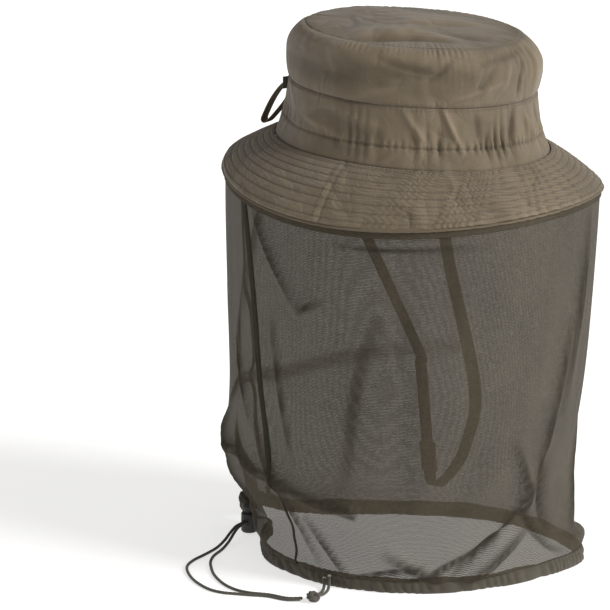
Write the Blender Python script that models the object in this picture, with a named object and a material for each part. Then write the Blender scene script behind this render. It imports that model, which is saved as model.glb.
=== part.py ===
"""Bush hat with a sewn-on insect net: crown, quilted brim, net veil, hem drawcord and chin strap.

Lengths below are in millimetres and become metres when a mesh is made. +Z is up, the wearer
faces -Y, and the origin is the centre of the head opening, where the crown meets the brim.
"""
import math

import bmesh
import bpy
from mathutils import Matrix, Vector

MM = 0.001
GAP = 0.3                      # clearance between touching pieces

# Hat: semi-axes run front to back (along Y) and side to side (along X)
HEAD_LONG, HEAD_WIDE = 106.4, 94.0
ELASTIC_LONG, ELASTIC_WIDE, ELASTIC_Z = 99.5, 88.0, 15.5
SIDE_LONG, SIDE_WIDE = 98.0, 87.0
MID_SEAM_Z = 44.5
TIP_SEAM_Z = 86.0
TIP_LONG, TIP_WIDE = 87.0, 76.0
TIP_RISE = 4.0
# The crown's shoulder: height, and how far out from SIDE_LONG and SIDE_WIDE
SHOULDER = [(62.0, 1.0), (72.0, 0.2), (79.5, -4.2)]
TILT = 0.04                    # the hat sits a little lower at the front
CLOTH = 1.2
HAT_SIDES = 44

# Brim
BRIM_LONG, BRIM_WIDE = 146.0, 134.0
BRIM_DROP = 21.0
BRIM_SIDE_SAG = 14.0
BRIM_CLOTH = 1.0
BRIM_FILL = 0.6
LAYER_STEP = 0.4               # space between two layers of the brim
FILL_REACH = 0.92              # the filling stops short of the brim's edge

# Sweatband inside the crown
SWEATBAND_LOW, SWEATBAND_HIGH = 2.0, 30.0
ELASTIC_HALF_HEIGHT = 4.0

# Net veil and hem
FLOOR_Z = -325.0
HEM_HEIGHT = 12.0
HEM_DEPTH = 4.4
HEM_WALL = 0.8
NET_CLOTH = 1.0
NET_LEVELS = 7
NET_LEANS = [(122, 30, 0.76, 0.16, 10.0), (302, 40, 0.74, 0.17, -15.0)]   # degrees, share down, and mm out
HEM_SIDES = 60
TAPE_HEIGHT = 8.0

# Drawcord
CORD_D = 2.3

# Cord lock, upright beside the gap in the hem
LOCK_X, LOCK_Y = -32.5, 126.0
LOCK_HOLE_Z = FLOOR_Z + 9.6
BARREL_R = 6.5
BORE_R = 4.5
PLUNGER_R = 4.2
PRESS_TRAVEL = 3.0
SLOT_Y, SLOT_Z = 5.8, 3.2

# Stow pocket inside the crown
POCKET_LONG, POCKET_WIDE = 96.0, 85.0
POCKET_RIM_DROP = 24.0
PANEL_Z = 70.5
FLAP_Z = 67.0
POCKET_CLOTH = 0.8
OVERLAP = 8.0
FLAP_HINGE_X = 24.0
FLAP_HALF_LONG = 55.0
SNAP_HOLE_R = 1.9

# Chin strap
STRAP_WIDTH = 10.0
STRAP_CLOTH = 1.2
STRAP_Y = 18.0
ANCHOR_X = 81.6
SLIDER_LENGTH = 23.0

# Route of the hem along the surface, anticlockwise from the lock: x, y and lift off the surface
HEM_ROUTE = [
    (-30, 108.5, 0), (-58, 97, 0), (-87, 67, 0), (-101, 10, 0), (-87, -45, 0), (-54, -87, 0),
    (-7, -115, 0), (46, -126, 0), (75, -92, 0), (90, -50, 0), (88, -4, 0), (65, 48, 0),
    (24, 114, 1), (6, 139, 8), (-12, 146, 12), (-17.5, 135, 5),
]
HEM_GAP_ROUTE = [(-17, 127, 3), (-21, 117, 1)]

# Free strands from the lock to the knot: x, y and height of the cord's middle over the surface
OUTER_ROUTE = [
    (-39.3, 127.3, 9.6), (-49.5, 127.3, 9.6), (-58, 126.8, 7.4), (-68, 126.2, 3.6), (-80, 125.6, 1.3),
    (-97, 125, 1.25), (-113, 125.2, 1.25), (-127, 121.5, 1.25), (-140, 111, 1.25), (-151, 97, 1.25),
    (-158.5, 81, 1.25), (-159.5, 69, 1.25), (-156.5, 58.5, 1.25), (-152.8, 48, 1.25),
    (-148, 35, 1.25), (-147, 20, 1.25), (-143, 9.5, 2.2),
]
INNER_ROUTE = [
    (-39.3, 124.7, 9.6), (-49.5, 124.7, 9.6), (-58, 123.6, 7.4), (-68, 122, 3.6), (-80, 120.2, 1.3),
    (-96, 117.5, 1.25), (-108, 112.5, 1.25), (-118, 105.5, 1.25), (-131, 94, 1.25),
    (-143, 78, 1.25), (-149, 63, 1.25), (-149, 50, 1.25), (-144.8, 35.5, 1.25),
    (-143.8, 20.5, 1.25), (-140, 9.5, 2.2),
]
KNOT = (-137.5, 1.5, 4.3)
TAIL_ROUTES = [
    [(-131.5, 0.5, 3.6), (-124, 0.8, 2.0), (-113, 3.5, 2.2), (-106.5, 6.5, 9.5)],
    [(-132.5, 4.8, 3.6), (-124, 4.4, 1.6), (-113, 7.5, 2.0), (-106.5, 11.0, 7.0)],
]

# The cord between the lock and the hem's two ends: x, y and height over the surface
DRAWCORD_START = [(-39.0, 124.7, 9.6), (-25, 124.7, 9.6), (-19.5, 121, 9), (-20.5, 113.5, 7.5)]
DRAWCORD_END = [(-19.2, 129.6, 10.2), (-25, 127.3, 9.6), (-39.0, 127.3, 9.6)]

# Chin strap: right anchor, down through the slider, round and up to the left anchor
STRAP_ROUTE = [
    (-81, STRAP_Y, -7), (-58, 5.5, -61), (-35, -6.9, -114), (-15.36, -17.57, -160), (-2, -20, -262),
    (3, -21, -270), (12, -22, -270), (27, -25, -262), (40, -28, -245), (50, -29, -200),
    (64, 6, -94), (78, 15, -40), (81, STRAP_Y, -7),
]
SLIDER_TOP, SLIDER_BOTTOM = 3, 4      # the slider rides between these two points of the route

OLIVE = (0.115, 0.092, 0.062)
OLIVE_DARK = (0.050, 0.044, 0.031)
NET_OLIVE = (0.090, 0.080, 0.060)
LEATHER = (0.085, 0.055, 0.035)
METAL = (0.120, 0.100, 0.075)
PLASTIC = (0.020, 0.019, 0.017)
STEEL = (0.55, 0.55, 0.53)


# ---------------------------------------------------------------- basic builders

def clear_scene():
    for old in list(bpy.data.objects):
        bpy.data.objects.remove(old, do_unlink=True)


def material(name, colour, roughness, metallic=0.0):
    made = bpy.data.materials.new(name)
    made.use_nodes = True
    shader = made.node_tree.nodes["Principled BSDF"]
    shader.inputs["Base Color"].default_value = (*colour, 1.0)
    shader.inputs["Roughness"].default_value = roughness
    shader.inputs["Metallic"].default_value = metallic
    return made


def make_object(name, points, faces, finish, smooth=40.0):
    """A mesh object from points in millimetres, with its faces turned outward."""
    mesh = bpy.data.meshes.new(name)
    mesh.from_pydata([Vector(p) * MM for p in points], [], faces)
    build = bmesh.new()
    build.from_mesh(mesh)
    bmesh.ops.recalc_face_normals(build, faces=build.faces)
    build.to_mesh(mesh)
    build.free()
    mesh.materials.append(material(name, *finish))
    mesh.shade_smooth()
    mesh.set_sharp_from_angle(angle=math.radians(smooth))
    made = bpy.data.objects.new(name, mesh)
    bpy.context.collection.objects.link(made)
    return made


def set_pivot(piece, pivot):
    """Moves the object's origin to a joint's axis without moving its mesh."""
    place = Vector(pivot) * MM
    piece.data.transform(Matrix.Translation(-place))
    piece.location = place
    return piece


def ellipse(long, wide, height, sides=HAT_SIDES):
    """A ring of points. height is a number or a function of the angle from +X."""
    ring = []
    for k in range(sides):
        turn = 2 * math.pi * k / sides
        x, y = wide * math.cos(turn), long * math.sin(turn)
        z = height(turn) if callable(height) else height
        ring.append((x, y, z + TILT * y))
    return ring


def join_rings(name, rings, finish, closed_section=True):
    """Joins rings of equal size in order, and the last one to the first."""
    size = len(rings[0])
    points = [p for ring in rings for p in ring]
    count = len(rings)
    faces = []
    for r in range(count if closed_section else count - 1):
        here, there = r * size, (r + 1) % count * size
        for k in range(size):
            k2 = (k + 1) % size
            faces.append((here + k, here + k2, there + k2, there + k))
    if not closed_section:
        faces.append(tuple(range(size)))
        faces.append(tuple(range((count - 1) * size, count * size)))
    return make_object(name, points, faces, finish)


def band(name, levels, thickness, finish, inset=0.0, sides=HAT_SIDES):
    """A wall ring. levels are (long, wide, height) of its outer side, and inset moves it inward."""
    outer = [ellipse(a - inset, b - inset, z, sides) for a, b, z in levels]
    inner = [ellipse(a - inset - thickness, b - inset - thickness, z, sides) for a, b, z in levels]
    return join_rings(name, outer + inner[::-1], finish)


def lathe(name, profile, place, finish, sides=24):
    """Turns a profile of (radius, height) that starts and ends on the axis."""
    points = []
    rows = []
    for radius, height in profile:
        if radius == 0:
            rows.append([len(points)])
            points.append((place[0], place[1], place[2] + height))
            continue
        rows.append(list(range(len(points), len(points) + sides)))
        for k in range(sides):
            turn = 2 * math.pi * k / sides
            points.append((place[0] + radius * math.cos(turn), place[1] + radius * math.sin(turn),
                           place[2] + height))
    faces = []
    for low, high in zip(rows, rows[1:]):
        for k in range(sides):
            k2 = (k + 1) % sides
            corners = [low[k % len(low)], low[k2 % len(low)], high[k2 % len(high)], high[k % len(high)]]
            faces.append(tuple(dict.fromkeys(corners)))
    return make_object(name, points, faces, finish)


def block(name, low, high, finish):
    """A box between two corners."""
    (x0, y0, z0), (x1, y1, z1) = low, high
    points = [(x, y, z) for x in (x0, x1) for y in (y0, y1) for z in (z0, z1)]
    faces = [(0, 1, 3, 2), (4, 6, 7, 5), (0, 4, 5, 1), (2, 3, 7, 6), (0, 2, 6, 4), (1, 5, 7, 3)]
    return make_object(name, points, faces, finish)


def cut(piece, cutter):
    """Subtracts a guide object, which stays in the scene as a wire."""
    cutter.hide_render = True
    cutter.display_type = "WIRE"
    boolean = piece.modifiers.new("cut_" + cutter.name, "BOOLEAN")
    boolean.operation = "DIFFERENCE"
    boolean.solver = "EXACT"
    boolean.object = cutter


def smooth_route(route, step, closed=False):
    """Evenly spaced points on a Catmull-Rom curve through the route."""
    route = [Vector(p) for p in route]
    count = len(route)
    spans = count if closed else count - 1

    def control(i):
        if closed:
            return route[i % count]
        if i < 0:
            return route[0] * 2 - route[1]
        if i >= count:
            return route[-1] * 2 - route[-2]
        return route[i]

    fine = []
    for i in range(spans):
        p0, p1, p2, p3 = (control(i + k) for k in (-1, 0, 1, 2))
        for k in range(24):
            t = k / 24
            fine.append(0.5 * (2 * p1 + (p2 - p0) * t + (2 * p0 - 5 * p1 + 4 * p2 - p3) * t ** 2
                               + (3 * p1 - p0 - 3 * p2 + p3) * t ** 3))
    fine.append(control(spans))
    length = sum((b - a).length for a, b in zip(fine, fine[1:]))
    pieces = max(2, round(length / step))
    spaced, walked, k = [fine[0]], 0.0, 0
    for n in range(1, pieces):
        target = length * n / pieces
        while walked + (fine[k + 1] - fine[k]).length < target:
            walked += (fine[k + 1] - fine[k]).length
            k += 1
        share = (target - walked) / (fine[k + 1] - fine[k]).length
        spaced.append(fine[k].lerp(fine[k + 1], share))
    if not closed:
        spaced.append(fine[-1])
    return spaced


def over_floor(route):
    """Route points whose height counts from the surface that the hem lies on."""
    return [(x, y, FLOOR_Z + z) for x, y, z in route]


def directions(points, closed=False):
    count = len(points)
    found = []
    for i in range(count):
        before = points[(i - 1) % count] if closed else points[max(i - 1, 0)]
        after = points[(i + 1) % count] if closed else points[min(i + 1, count - 1)]
        found.append((after - before).normalized())
    return found


def tube(name, points, radius, finish, sides=6):
    """A round solid along points, with flat ends."""
    along = directions(points)
    side = along[0].orthogonal().normalized()
    rings = []
    for point, heading in zip(points, along):
        side = (side - heading * side.dot(heading)).normalized()
        up = heading.cross(side)
        rings.append([point + radius * (side * math.cos(turn) + up * math.sin(turn))
                      for turn in (2 * math.pi * k / sides for k in range(sides))])
    return join_rings(name, rings, finish, closed_section=False)


def ribbon(name, points, width, thickness, across, finish):
    """A flat strap along points, its width turned towards the across direction."""
    rings = []
    for point, heading in zip(points, directions(points)):
        wide = (across - heading * across.dot(heading)).normalized() * width / 2
        thin = heading.cross(wide).normalized() * thickness / 2
        rings.append([point + wide + thin, point - wide + thin, point - wide - thin, point + wide - thin])
    return join_rings(name, rings, finish, closed_section=False)


def cord(name, route, finish):
    """A free cord: a bevelled curve through evenly spaced points of its route."""
    points = smooth_route(over_floor(route), 2.5 * CORD_D)
    curve = bpy.data.curves.new(name, "CURVE")
    curve.dimensions = "3D"
    curve.bevel_depth = CORD_D / 2 * MM
    curve.bevel_resolution = 2
    curve.use_fill_caps = True
    spline = curve.splines.new("POLY")
    spline.points.add(len(points) - 1)
    for target, point in zip(spline.points, points):
        target.co = (*(point * MM), 1.0)
    curve.materials.append(material(name, *finish))
    made = bpy.data.objects.new(name, curve)
    bpy.context.collection.objects.link(made)
    return made


# ---------------------------------------------------------------- hat

def crown():
    cloth = (OLIVE, 0.75)
    top, under = [], []
    for share in (0.35, 0.7, 1.0):
        height = TIP_SEAM_Z + TIP_RISE * (1 - share ** 3)
        top.append(ellipse(TIP_LONG * share, TIP_WIDE * share, height))
        under.append(ellipse(TIP_LONG * share, TIP_WIDE * share, height - CLOTH))
    join_rings("crown_tip", top + under[::-1], cloth, closed_section=False)

    low, high = MID_SEAM_Z + GAP / 2, TIP_SEAM_Z - CLOTH - GAP
    shoulder = [(SIDE_LONG + out, SIDE_WIDE + out, z) for z, out in SHOULDER]
    band("crown_side_upper", [(TIP_LONG, TIP_WIDE, high)] + shoulder[::-1] + [(SIDE_LONG, SIDE_WIDE, low)],
         CLOTH, cloth)
    band("crown_side_lower", [(SIDE_LONG, SIDE_WIDE, MID_SEAM_Z - GAP / 2),
                              (SIDE_LONG + 0.5, SIDE_WIDE + 0.4, 30),
                              (ELASTIC_LONG, ELASTIC_WIDE, ELASTIC_Z),
                              (HEAD_LONG - 3, HEAD_WIDE - 2.6, 6), (HEAD_LONG, HEAD_WIDE, 0)], CLOTH, cloth)


def sweatband():
    inset = CLOTH + GAP
    low, high = ELASTIC_Z - ELASTIC_HALF_HEIGHT, ELASTIC_Z + ELASTIC_HALF_HEIGHT
    band("sweatband_elastic", [(ELASTIC_LONG - 0.4, ELASTIC_WIDE - 0.4, high),
                               (ELASTIC_LONG - 0.4, ELASTIC_WIDE - 0.4, ELASTIC_Z),
                               (ELASTIC_LONG + 0.5, ELASTIC_WIDE + 0.5, low)],
         0.8, (OLIVE_DARK, 0.8), inset)
    band("sweatband", [(SIDE_LONG + 0.3, SIDE_WIDE + 0.3, SWEATBAND_HIGH),
                       (ELASTIC_LONG - 0.4, ELASTIC_WIDE - 0.4, ELASTIC_Z),
                       (HEAD_LONG - 4.6, HEAD_WIDE - 4.2, SWEATBAND_LOW)],
         1.0, (OLIVE, 0.85), inset + 0.8 + GAP)


def brim_height(share, depth=0.0):
    """Height of the brim's upper side: it sags more at the wearer's sides than front and back."""
    def height(turn):
        drop = BRIM_DROP * (0.85 * share + 0.15 * share ** 2)
        return 1.0 - drop - BRIM_SIDE_SAG * share ** 2 * math.cos(turn) ** 2 - depth
    return height


def brim_layer(name, depth, thickness, finish, whole=True):
    """One cloth layer of the brim, depth below the upper side, out to the filling's edge or the brim's."""
    start_long, start_wide = HEAD_LONG + 0.5, HEAD_WIDE + 0.5
    upper, lower = [], []
    shares = [FILL_REACH * k / 4 for k in range(5)]
    for share in shares + [1.0] if whole else shares:
        edge_long = start_long + (BRIM_LONG - start_long) * share
        edge_wide = start_wide + (BRIM_WIDE - start_wide) * share
        upper.append(ellipse(edge_long, edge_wide, brim_height(share, depth)))
        lower.append(ellipse(edge_long, edge_wide, brim_height(share, depth + thickness)))
    join_rings(name, upper + lower[::-1], finish)


def brim():
    brim_layer("brim_upper", 0.0, BRIM_CLOTH, (OLIVE, 0.75))
    brim_layer("brim_interlining", BRIM_CLOTH + LAYER_STEP, BRIM_FILL, ((0.5, 0.48, 0.42), 0.9), False)
    brim_layer("brim_lower", BRIM_CLOTH + BRIM_FILL + 2 * LAYER_STEP, BRIM_CLOTH, (OLIVE, 0.78))


def brim_underside():
    """Depth of the brim's lower side under its upper side."""
    return 2 * BRIM_CLOTH + BRIM_FILL + 3 * LAYER_STEP


def net_top_tape():
    under = brim_underside()
    top = [brim_height(1.0, under + GAP), brim_height(1.0, under + GAP + TAPE_HEIGHT)]
    outer = [ellipse(BRIM_LONG - 1.0, BRIM_WIDE - 1.0, z, HEM_SIDES) for z in top]
    inner = [ellipse(BRIM_LONG - 1.8, BRIM_WIDE - 1.8, z, HEM_SIDES) for z in top]
    join_rings("net_top_tape", outer + inner[::-1], (OLIVE_DARK, 0.8))


# ---------------------------------------------------------------- veil

def hem_path():
    """The hem channel's middle line, from one end at the lock round to the other."""
    return smooth_route(HEM_ROUTE, 12.0)


def hem_ring():
    """The hem's line as a closed ring, across the gap too."""
    path = hem_path()
    across = smooth_route([path[-1]] + HEM_GAP_ROUTE + [path[0]], 8.0)
    return path + across[1:-1]


def net_pull(share):
    """How far the net has come in from the brim towards the hem, from 0 at the top to 1."""
    turn_in = min(max((share - 0.66) / 0.22, 0.0), 1.0)
    return 0.55 * share + 0.45 * turn_in ** 2 * (3 - 2 * turn_in)


def net_lean(turn, share):
    """How far the net hangs out (+) or in (-) from its even shape."""
    lean = 0.0
    for degrees, spread, middle, reach, out in NET_LEANS:
        apart = (math.degrees(turn) - degrees + 180) % 360 - 180
        lean += out * math.exp(-(apart / spread) ** 2) * math.exp(-((share - middle) / reach) ** 2)
    return lean


def net_veil():
    inset = 1.8 + GAP
    top_depth = brim_underside() + GAP + 0.5
    hem = hem_ring()
    centre = Vector((-3.0, 0.0, 0.0))
    rings = []
    for skin in (0.0, NET_CLOTH):
        skin_rings = []
        for level in range(NET_LEVELS + 1):
            share = level / NET_LEVELS
            ring = []
            for point in hem:
                flat = Vector((point.x, point.y, 0)) - centre
                low = centre + flat * (1 - skin / flat.length)
                turn = math.atan2(flat.y / BRIM_LONG, flat.x / BRIM_WIDE)
                long, wide = BRIM_LONG - inset - skin, BRIM_WIDE - inset - skin
                x, y = wide * math.cos(turn), long * math.sin(turn)
                z = brim_height(1.0, top_depth)(turn) + TILT * y
                foot = FLOOR_Z + point.z + HEM_HEIGHT + GAP
                place = Vector((x, y, z)).lerp(Vector((low.x, low.y, foot)), net_pull(share))
                place += flat.normalized() * net_lean(math.atan2(flat.y, flat.x), share)
                place.z = z + (foot - z) * share
                ring.append(place)
            skin_rings.append(ring)
        rings += skin_rings if skin == 0.0 else skin_rings[::-1]
    join_rings("net_veil", rings, (NET_OLIVE, 0.9))


def hem_channel():
    """The sewn channel: a hollow strip that runs round the hem and is open at its two ends."""
    path = hem_path()
    half, wall = HEM_DEPTH / 2, HEM_WALL
    outline = [(half, 0), (half, HEM_HEIGHT), (-half, HEM_HEIGHT), (-half, 0)]
    hollow = [(half - wall, wall), (half - wall, HEM_HEIGHT - wall),
              (wall - half, HEM_HEIGHT - wall), (wall - half, wall)]
    size = len(outline)
    points, faces = [], []
    for point, heading in zip(path, directions(path)):
        side = Vector((heading.y, -heading.x, 0)).normalized()
        for out, up in outline + hollow:
            points.append(point + side * out + Vector((0, 0, FLOOR_Z + up)))
    for i in range(len(path) - 1):
        here, there = i * 2 * size, (i + 1) * 2 * size
        for loop in (0, size):
            for k in range(size):
                k2 = (k + 1) % size
                faces.append((here + loop + k, here + loop + k2, there + loop + k2, there + loop + k))
    for end in (0, (len(path) - 1) * 2 * size):
        for k in range(size):
            k2 = (k + 1) % size
            faces.append((end + k, end + k2, end + size + k2, end + size + k))
    make_object("hem_channel", points, faces, (OLIVE_DARK, 0.8))


def hem_drawcord():
    """The cord inside the channel, with the short stretches that pass through the lock."""
    middle = [p + Vector((0, 0, FLOOR_Z + HEM_HEIGHT / 2)) for p in hem_path()]
    start = smooth_route(over_floor(DRAWCORD_START) + middle[:1], 4.0)
    end = smooth_route(middle[-1:] + over_floor(DRAWCORD_END), 4.0)
    tube("hem_drawcord", start[:-1] + middle + end[1:], CORD_D / 2 - 0.1, (OLIVE_DARK, 0.7))


def free_cord():
    finish = (OLIVE_DARK, 0.7)
    cord("cord_strand_outer", OUTER_ROUTE, finish)
    cord("cord_strand_inner", INNER_ROUTE, finish)
    for number, route in enumerate(TAIL_ROUTES, 1):
        cord(f"cord_tail_{number}", route, finish)
    profile = [(0, -4.2)]
    for turn in (-50, -15, 20, 55):
        profile.append((5.6 * math.cos(math.radians(turn)), 4.2 * math.sin(math.radians(turn))))
    profile.append((0, 4.2))
    x, y, z = KNOT
    lathe("cord_knot", profile, (x, y, FLOOR_Z + z), finish, sides=14)


# ---------------------------------------------------------------- cord lock

def cord_lock():
    place = (LOCK_X, LOCK_Y, LOCK_HOLE_Z)
    rest = 1.35                          # the plunger's slot starts this far under the hole's middle
    foot = rest + 2.0
    floor = foot + PRESS_TRAVEL + 1.2
    top = 7.0
    base = floor + 1.2
    barrel = lathe("lock_barrel", [
        (0, -base), (BARREL_R - 0.8, -base), (BARREL_R, 0.8 - base), (BARREL_R, top - 0.8),
        (BARREL_R - 0.6, top), (BORE_R, top), (BORE_R, -floor), (0, -floor)], place, (PLASTIC, 0.5))
    plunger = lathe("lock_plunger", [
        (0, -foot), (PLUNGER_R, -foot), (PLUNGER_R, top + PRESS_TRAVEL + GAP),
        (5.6, top + PRESS_TRAVEL + GAP), (5.6, top + PRESS_TRAVEL + 2.4),
        (4.2, top + PRESS_TRAVEL + 3.9), (0, top + PRESS_TRAVEL + 4.3)], place, (PLASTIC, 0.5))
    reach = BARREL_R + 2
    x, y, z = place
    cut(barrel, block("lock_barrel_slot", (x - reach, y - SLOT_Y / 2, z - SLOT_Z / 2),
                      (x + reach, y + SLOT_Y / 2, z + SLOT_Z / 2), (PLASTIC, 0.5)))
    cut(plunger, block("lock_plunger_slot", (x - reach, y - SLOT_Y / 2, z - rest),
                       (x + reach, y + SLOT_Y / 2, z + SLOT_Z / 2 + PRESS_TRAVEL), (PLASTIC, 0.5)))
    wire, turns, per_turn = 0.35, 3, 10
    low, high = z - floor + wire + GAP, z - foot - wire - GAP
    coil = []
    for k in range(turns * per_turn + 1):
        turn = 2 * math.pi * k / per_turn
        coil.append(Vector((x + 3.2 * math.cos(turn), y + 3.2 * math.sin(turn),
                            low + (high - low) * k / (turns * per_turn))))
    tube("lock_spring", coil, wire, (STEEL, 0.35, 1.0), sides=5)


# ---------------------------------------------------------------- stow pocket

def pocket_height(x, y, flat_z):
    """A cloth that is sewn round the crown at the middle seam and lies up near the tip."""
    out = math.hypot(x / POCKET_WIDE, y / POCKET_LONG)
    fall = min(max((out - 0.66) / 0.34, 0.0), 1.0)
    return flat_z - POCKET_RIM_DROP * fall ** 2


def half_moon(name, side, flat_z, finish):
    """One pocket panel: from the crown's side to a straight edge just past the middle."""
    columns, rows = 9, 10
    points = []
    for skin in (0.0, POCKET_CLOTH):
        for c in range(columns + 1):
            share = c / columns
            x = side * (POCKET_WIDE * 0.995 - (POCKET_WIDE * 0.995 + OVERLAP) * share)
            half = POCKET_LONG * math.sqrt(1 - (x / POCKET_WIDE) ** 2)
            for r in range(rows + 1):
                y = half * math.sin(math.pi * (r / rows - 0.5))
                points.append((x, y, pocket_height(x, y, flat_z) + skin))
    faces = []
    size = (columns + 1) * (rows + 1)

    def corner(c, r, skin):
        return skin * size + c * (rows + 1) + r

    for skin in (0, 1):
        for c in range(columns):
            for r in range(rows):
                faces.append((corner(c, r, skin), corner(c + 1, r, skin),
                              corner(c + 1, r + 1, skin), corner(c, r + 1, skin)))
    edge = [(c, 0) for c in range(columns)] + [(columns, r) for r in range(rows)]
    edge += [(c, rows) for c in range(columns, 0, -1)] + [(0, r) for r in range(rows, 0, -1)]
    for (c, r), (c2, r2) in zip(edge, edge[1:] + edge[:1]):
        faces.append((corner(c, r, 0), corner(c2, r2, 0), corner(c2, r2, 1), corner(c, r, 1)))
    return make_object(name, points, faces, finish)


def stow_pocket():
    cloth = (OLIVE, 0.8)
    half = FLAP_HALF_LONG
    panel = half_moon("stow_pocket_panel", -1, PANEL_Z, cloth)
    base = half_moon("stow_pocket_flap_base", 1, FLAP_Z, cloth)
    room = 0.5
    cut(base, block("flap_notch", (-OVERLAP - 5, -half - room, FLAP_Z - 5),
                    (FLAP_HINGE_X + room, half + room, FLAP_Z + 5), cloth))
    flap = block("stow_pocket_flap", (-OVERLAP, -half, FLAP_Z),
                 (FLAP_HINGE_X - room, half, FLAP_Z + POCKET_CLOTH), cloth)
    hole = lathe("snap_hole", [(0, FLAP_Z - 5), (SNAP_HOLE_R, FLAP_Z - 5), (SNAP_HOLE_R, PANEL_Z + 5),
                               (0, PANEL_Z + 5)], (0, 0, 0), cloth, sides=16)
    cut(flap, hole)
    cut(panel, hole)
    return flap


def snap():
    """Four pressed pieces: cap and socket on the flap, stud and post on the panel."""
    metal = (METAL, 0.4, 0.8)
    shank = SNAP_HOLE_R - GAP
    face = FLAP_Z - GAP
    cap = lathe("snap_cap", [
        (0, face - 1.9), (4.0, face - 1.6), (6.0, face - 0.6), (6.2, face), (shank, face),
        (shank, FLAP_Z + POCKET_CLOTH + GAP + 0.1),
        (0, FLAP_Z + POCKET_CLOTH + GAP + 0.1)], (0, 0, 0), metal)
    seat = FLAP_Z + POCKET_CLOTH + GAP
    socket = lathe("snap_socket", [
        (0, seat + 0.4), (2.5, seat + 0.4), (2.5, seat + 1.3), (4.6, seat + 1.3), (5.0, seat),
        (shank + GAP, seat), (shank + GAP, seat + 0.15), (0, seat + 0.15)], (0, 0, 0), metal)
    lower = PANEL_Z - GAP
    lathe("snap_stud", [
        (0, lower - 1.5), (1.6, lower - 1.5), (2.1, lower - 1.0), (1.7, lower - 0.6), (5.0, lower - 0.5),
        (5.0, lower), (0, lower)], (0, 0, 0), metal)
    upper = PANEL_Z + POCKET_CLOTH + GAP
    lathe("snap_post", [
        (0, PANEL_Z + 0.1), (shank, PANEL_Z + 0.1), (shank, upper), (4.4, upper), (4.4, upper + 0.6),
        (0, upper + 0.8)], (0, 0, 0), metal)
    return cap, socket


def side_tag():
    """A blank woven tag that hangs inside from the middle seam, at the back right."""
    turn = math.radians(112)
    place = Vector((POCKET_WIDE * math.cos(turn), POCKET_LONG * math.sin(turn), 0)) * 0.985
    place.z = 40.5
    along = Vector((-POCKET_WIDE * math.sin(turn), POCKET_LONG * math.cos(turn), 0)).normalized()
    points = [place + Vector((0, 0, z)) for z in (-4.6, 0, 4.6)]
    ribbon("side_tag", points, 14.0, 0.8, along, (OLIVE_DARK, 0.7))


# ---------------------------------------------------------------- loop and strap

def hang_loop():
    """A folded webbing loop that hangs from a sewn tab at the back and lies on the brim."""
    across = Vector((1, 0, 0))
    pivot = (0, 101.2, 34.5)
    tab = [Vector((0, 100.0, z)) for z in (25, 29, 33.5)]
    ribbon("hang_loop_tab", tab, 10.0, 1.0, across, (OLIVE, 0.8))
    route = [(0, 103, 34.8), (0, 112, 32.0), (0, 122, 20.5), (0, 130, 6), (0, 131.5, 0.8),
             (0, 127.5, 0.2), (0, 119, 9), (0, 111, 18.5), (0, 103, 30.4)]
    loop = ribbon("hang_loop", smooth_route(route, 5.0), 10.0, STRAP_CLOTH, across, (OLIVE, 0.8))
    return set_pivot(loop, pivot)


def chin_strap():
    webbing = (OLIVE_DARK, 0.8)
    for side, label in ((-1, "right"), (1, "left")):
        faces = sorted((side * ANCHOR_X, side * (ANCHOR_X - STRAP_CLOTH)))
        block(f"chin_anchor_{label}", (faces[0], STRAP_Y - 6.5, -3.0),
              (faces[1], STRAP_Y + 6.5, 8.0), webbing)
    start, end = Vector(STRAP_ROUTE[SLIDER_TOP]), Vector(STRAP_ROUTE[SLIDER_BOTTOM])
    straight = [start.lerp(end, share) for share in (0, 0.08, 0.33, 0.66, 1)]
    route = STRAP_ROUTE[:SLIDER_TOP] + straight + STRAP_ROUTE[SLIDER_BOTTOM + 1:]
    strap = ribbon("chin_strap", smooth_route(route, 9.0), STRAP_WIDTH, STRAP_CLOTH, Vector((0, 1, 0)),
                   webbing)
    set_pivot(strap, (0, STRAP_Y, 0))
    return strap


def chin_slider(strap):
    """A flat leather keeper with a tunnel for the strap."""
    start, end = Vector(STRAP_ROUTE[SLIDER_TOP]), Vector(STRAP_ROUTE[SLIDER_BOTTOM])
    heading = (end - start).normalized()
    middle = end - heading * (SLIDER_LENGTH / 2 + 6)
    wide = (Vector((0, 1, 0)) - heading * heading.y).normalized()
    thin = heading.cross(wide).normalized()
    points = []
    for along in (-SLIDER_LENGTH / 2, SLIDER_LENGTH / 2):
        for half_wide, half_thin in ((6.6, 2.3), (STRAP_WIDTH / 2 + 0.4, STRAP_CLOTH / 2 + 0.4)):
            for w, t in ((1, 1), (-1, 1), (-1, -1), (1, -1)):
                points.append(middle + heading * along + wide * half_wide * w + thin * half_thin * t)
    faces = []
    for k in range(4):
        k2 = (k + 1) % 4
        faces.append((k, k2, 8 + k2, 8 + k))
        faces.append((4 + k, 4 + k2, 12 + k2, 12 + k))
        faces.append((k, k2, 4 + k2, 4 + k))
        faces.append((8 + k, 8 + k2, 12 + k2, 12 + k))
    slider = make_object("chin_slider", points, faces, (LEATHER, 0.6))
    set_pivot(slider, middle)


def main():
    clear_scene()
    crown()
    sweatband()
    brim()
    net_top_tape()
    net_veil()
    hem_channel()
    hem_drawcord()
    free_cord()
    cord_lock()
    flap = stow_pocket()
    cap, socket = snap()
    for piece in (flap, cap, socket):
        set_pivot(piece, (FLAP_HINGE_X, 0, FLAP_Z))
    side_tag()
    hang_loop()
    chin_slider(chin_strap())


main()
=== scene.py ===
"""The looks of a bush hat with a sewn-on insect net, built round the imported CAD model.

Everything is in metres, in the CAD model's frame: +Z up, the wearer faces -Y, and the origin is the
centre of the head opening. Angles round the hat, called turns, count anticlockwise from +X.
"""
import math

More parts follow.
